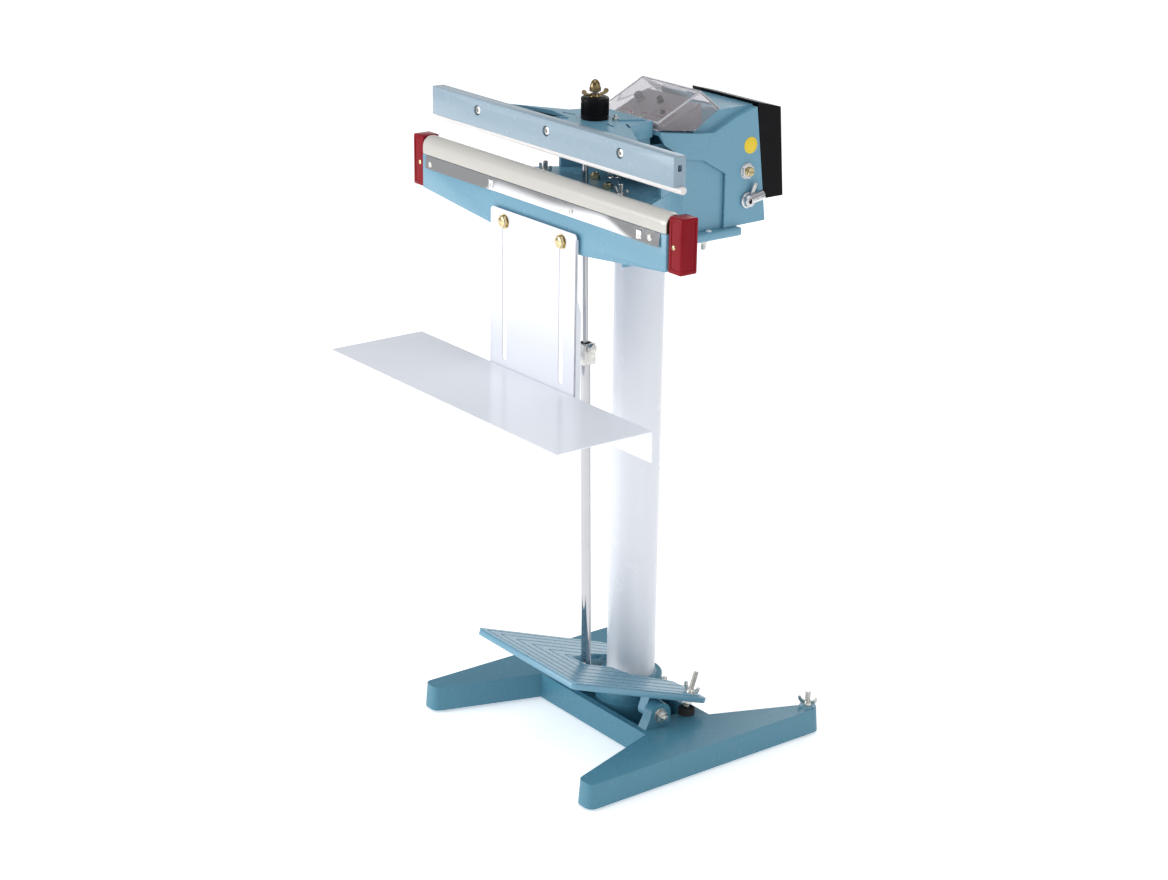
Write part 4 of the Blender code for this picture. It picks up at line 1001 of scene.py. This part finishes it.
def make_knobs():
    outline = (
        (0, 0), (1, 0), (1, 0.16), (0.92, 0.24), (0.78, 0.32), (0.72, 0.88), (0.66, 0.97), (0.45, 1),
        (0.40, 0.95), (0, 0.95),
    )
    for node, radius, height in (("timer_knob", 0.0066, 0.0085), ("mode_knob", 0.0044, 0.0075)):
        at = KNOB_AT[node]
        bm = lathe([(radius * across, height * up) for across, up in outline], 64)
        ridges(bm, (0.0007, 0.0009, height * 0.52), radius * 0.75, height * 0.60, 18)
        add(bm, block((radius * 0.16, radius * 0.62, 0.0006), (0, radius * 0.36, height * 0.985)))
        redrawn(node, bm, at=at, turn=ON_PANEL, edge=0.0002)
        bm = block((radius * 0.14, radius * 0.24, 0.0004), (0, radius * 0.86, height * 0.20))
        shaped(f"{node}_pointer", bm, BODY[node], "sheet_paint", at=at, turn=ON_PANEL)


HINGE_Y = 0.0715
HINGE_Z = 0.7948


def make_cover():
    refine("clear_cover", 0.0009, 3, 25)
    low, high, _ = local("clear_cover")
    for word, x in (("far", -0.038), ("near", 0.038)):
        ends = [(x + dx, HINGE_Y, HINGE_Z) for dx in (-0.007, 0.007)]
        shaped(f"hinge_barrel_{word}", tube(ends, 0.0017, 18), "cover", "clear_plastic")
        ends = [(x + dx, HINGE_Y, HINGE_Z) for dx in (-0.0095, 0.0095)]
        shaped(f"hinge_pin_{word}", tube(ends, 0.0009, 14), "root", "zinc")
    # Pale tubes along the cover's edges: a painted highlight for the bright edges of the clear sheet.
    side_x = high.x - 0.0012
    profile = ((-0.0214, 0.7791), (-0.0214, 0.7876), (0.0410, 0.8175), (HINGE_Y - 0.0010, HINGE_Z - 0.0002))
    edges = bmesh.new()
    for side in (-1, 1):
        for start, stop in zip(profile, profile[1:]):
            add(edges, tube([(side * side_x, y, z) for y, z in (start, stop)], 0.0010, 10))
    for y, z in profile[:3]:
        add(edges, tube([(-side_x, y, z), (side_x, y, z)], 0.0010, 10))
    shaped("cover_edge_highlights", edges, "cover", "clear_plastic", material=EDGE_HIGHLIGHT_FINISH)
    bm = block((0.016, 0.0035, 0.0060), (0, low.y + 0.0002, 0.7868))
    shaped("cover_lift_tab", bm, "cover", "clear_plastic", edge=0.0010, segments=3)


# ---------------------------------------------------------------- upper arm
SLIT_WIDTH = 0.0034
SLITS = (
    ((-0.0480, -0.0810), (-0.0300, -0.0770)),
    ((0.0480, -0.0810), (0.0300, -0.0770)),
    ((0.0630, -0.0690), (0.0440, -0.0600)),
)
WINDOW = [
    (-0.1140, -0.1065), (-0.0307, -0.1080), (-0.0225, -0.0950), (-0.0608, -0.0880), (-0.0960, -0.0985),
]
WINDOW_RIM = 1.075


def make_arm():
    arm = refine("upper_arm", 0.0006, 2, 45)
    top = local("upper_arm")[1].z
    cut(arm, *[strut(start, stop, SLIT_WIDTH, 0.016, top) for start, stop in SLITS])
    heart = sum((Vector(p) for p in WINDOW), Vector((0, 0))) / len(WINDOW)
    wide = [tuple(heart + (Vector(p) - heart) * WINDOW_RIM) for p in WINDOW]
    rim = plate(wide, 0.0016, holes=[WINDOW], at=(0, 0, top + 0.0003))
    shaped("arm_window_rim", rim, "arm", "blue_paint", edge=0.0005)
    spine = bmesh.new()
    for side in (-1, 1):
        add(spine, strut((side * 0.0240, -0.0560), (side * 0.0400, -0.0290), 0.0030, 0.0024, top + 0.0006))
    shaped("arm_spine_ribs", spine, "arm", "blue_paint", edge=0.0007, segments=3)
    bm = hexagon(0.0036, 0, 0, 0.0029, (0.0005, 0.0005))
    add(bm, thread(0.0019, 0.0028, 0.0062))
    shaped("arm_bolt", bm, "arm", "zinc", at=(0.0190, -0.0560, top), edge=0.0002)

    refine("upper_bar", 0.0010, 3, 50, material=BAR_PAINT)
    for word in ("left", "middle", "right"):
        _, high, center = local(f"bar_screw_{word}")
        profile = [(0, 0), (0.0050, 0), (0.0050, 0.0014), (0.0044, 0.0024), (0.0030, 0.0028)]
        bm = lathe(profile + [(0.0021, 0.0028), (0.0021, 0.0012), (0, 0.0012)], 36)
        add(bm, thread(0.0026, 0, 0.0116), Matrix.Rotation(math.pi, 4, "X"))
        redrawn(f"bar_screw_{word}", bm, at=(center.x, high.y - 0.0118, center.z), turn=TO_FRONT)
    low, high, center = local("seal_strip")
    radius = (high.z - low.z) / 2
    length = high.x - low.x
    end = [(0, length / 2), (radius * 0.70, length / 2), (radius * 0.93, length / 2 - 0.0008)]
    end.append((radius, length / 2 - 0.0020))
    profile = [(r, -z) for r, z in end] + end[::-1]
    redrawn("seal_strip", lathe(profile, 40), at=center, turn=ALONG_X)


def make_pressure_screw():
    low, high, center = local("spring_cup")
    outer = 0.0165
    height = high.z - low.z
    inner = 0.0115
    bore = 0.0042
    rim = outer - 0.0002
    waist = outer - 0.0007
    roof = height - 0.003
    profile = [
        (inner, 0), (outer - 0.0010, 0), (rim, 0.0008), (rim, 0.0040), (waist, 0.0044),
        (waist, height - 0.0052), (rim, height - 0.0048), (rim, height - 0.0014),
        (outer - 0.0006, height - 0.0005), (outer - 0.0015, height),
        (bore, height), (bore, roof), (inner, roof),
    ]
    bm = lathe(profile, 96, closed=True)
    ridges(bm, (0.0009, 0.0008, height - 0.0120), waist, height * 0.47, 60)
    redrawn("spring_cup", bm, at=(0, center.y, low.z))
    low, high, _ = local("pressure_stud")
    bm = thread(0.0035, 0.006, high.z - low.z, 0.0010)
    add(bm, hexagon(0.0075, 0, 0, 0.006, (0.0007, 0.0008), (0.0007, 0.0008)))
    redrawn("pressure_stud", bm, at=(0, center.y, low.z))
    at = (0, center.y, local("wing_nut")[0].z)
    bm = wing_nut(0.0172, 0.0068, 0.0038, 0.0024)
    turn = spin(80, "Z")
    redrawn("wing_nut", bm, at=at, turn=turn, edge=0.0005, segments=3, angle=50, material=DARK_BRASS)
    low, high, _ = local("dome_nut")
    height = high.z - low.z
    bm = hexagon(0.0068, 0.0038, 0, 0.0052, (0.0006, 0.0006), (0.0006, 0.0006))
    start = 0.0050
    dome = [(0.0060 * x, start + (height - start) * z) for x, z in arc((0, 0), 1, 0, 80, 8)]
    add(bm, lathe([(0.0038, start)] + dome + [(0, height)], 40))
    redrawn("dome_nut", bm, at=(0, center.y, low.z), edge=0.0003, angle=50, material=DARK_BRASS)


# ---------------------------------------------------------------- bag shelf
def make_shelf():
    refine("support_plate", 0.0004, 2, 60)
    refine("tray", 0.0004, 2, 60)
    plate_low, plate_high, _ = local("support_plate")
    thickness = plate_high.y - plate_low.y
    face = plate_low.y
    foot = plate_low.z + 0.001
    head = plate_high.z - 0.006
    shallow = face + 0.0033
    deep = face + 0.0085
    profile = [(face, foot), (deep, foot), (deep, 0.590), (shallow, 0.606), (shallow, head), (face, head)]
    for word, side in (("far", -1), ("near", 1)):
        x = side * (plate_high.x - thickness / 2)
        bm = plate(profile, thickness, turn=SIDEWAYS, at=(x, 0, 0))
        shaped(f"plate_flange_{word}", bm, "shelf", "sheet_paint", edge=0.0003)
    back = local("tray")[1].y - 0.0015
    for word, x in (("far", -0.070), ("near", 0.070)):
        at = (x, back, 0.468)
        cross_screw(f"tray_screw_{word}", "shelf", "zinc", at, TO_FRONT, 0.0032, 0.0010)


make_base()
make_column()
make_stand_fasteners()
make_pedal()
make_rod()
make_frame()
make_spring()
make_jaw()
make_caps()
make_casing()
make_fittings()
make_panel()
make_knobs()
make_cover()
make_arm()
make_pressure_screw()
make_shelf()


# ---------------------------------------------------------------- studio
def make_floor():
    """A pale sheet lit a little from below, as on a product table, dimmer well outside the lamps' reach."""
    mesh = bpy.data.meshes.new("floor")
    bm = bmesh.new()
    bmesh.ops.create_grid(bm, x_segments=2, y_segments=2, size=40)
    bm.to_mesh(mesh)
    bm.free()
    floor = shown("floor", mesh)
    finish = surface("floor", (0.88, 0.88, 0.88), (0.75, 0.85), tone=0.003, tone_scale=2, bump=0)
    tree = finish.node_tree
    place = add_node(tree, "TexCoord")
    shares = []
    for direction, start, stop, low, high in (
        ((0.828, 0.574, 0), 0.50, 2.50, 1.0, 0.78), ((0.609, 0.793, 0), -3.9, -2.9, 0.42, 1.0),
    ):
        across = add_node(tree, "VectorMath", {1: direction}, {0: place.outputs["Object"]})
        across.operation = "DOT_PRODUCT"
        values = {"From Min": start, "From Max": stop, "To Min": low, "To Max": high}
        fade = add_node(tree, "MapRange", values, {"Value": across.outputs["Value"]})
        fade.interpolation_type = "SMOOTHSTEP"
        shares.append(fade.outputs["Result"])
    both = add_node(tree, "Math", feeds=enumerate(shares))
    both.operation = "MULTIPLY"
    shader = tree.nodes["Principled BSDF"]
    for key in ("Base Color", "Emission Color"):
        tree.links.new(both.outputs["Value"], shader.inputs[key])
    shader.inputs["Emission Strength"].default_value = 0.45
    finish.cycles.emission_sampling = "NONE"
    mesh.materials.append(finish)


def make_sky():
    """White at the horizon, dimmer higher up."""
    world = bpy.data.worlds.new("studio")
    bpy.context.scene.world = world
    world.use_nodes = True
    tree = world.node_tree
    place = add_node(tree, "TexCoord")
    split = add_node(tree, "SeparateXYZ", feeds={"Vector": place.outputs["Generated"]})
    ramp = add_node(tree, "ValToRGB", feeds={"Fac": split.outputs["Z"]})
    stops = ((0.0, 0.97), (0.10, 0.97), (0.26, 0.40), (0.60, 0.44), (1.0, 0.60))
    for position, _ in stops[1:-1]:
        ramp.color_ramp.elements.new(position)
    for element, (_, level) in zip(ramp.color_ramp.elements, stops):
        element.color = (level * 0.97, level * 0.985, level, 1)
    tree.links.new(ramp.outputs["Color"], tree.nodes["Background"].inputs["Color"])


def facing(direction):
    return direction.to_track_quat("-Z", "Y").to_euler()


def make_lamps():
    lamps = (
        ("front_softbox", (-1.6, -2.9, 1.15), (0, 0, 0.45), 1.8, 48),
        ("side_softbox", (2.7, 0.3, 1.9), (0, 0, 0.5), 1.3, 9),
        ("back_softbox", (-1.4, 2.4, 1.8), (0, 0, 0.6), 1.5, 12),
        ("top_softbox", (0.2, -0.4, 3.4), (0, 0, 0), 2.4, 14),
    )
    for name, at, target, size, power in lamps:
        data = bpy.data.lights.new(name, "AREA")
        data.shape = "SQUARE"
        data.size = size
        data.energy = power
        lamp = shown(name, data)
        lamp.location = at
        lamp.rotation_euler = facing(Vector(target) - Vector(at))
    sun = bpy.data.lights.new("window_light", "SUN")
    sun.energy = 0.3
    sun.angle = math.radians(60)
    shown("window_light", sun).rotation_euler = facing(Vector((0.3, 0.6, -1)))


make_floor()
make_sky()
make_lamps()
bpy.context.scene.view_settings.view_transform = "Standard"
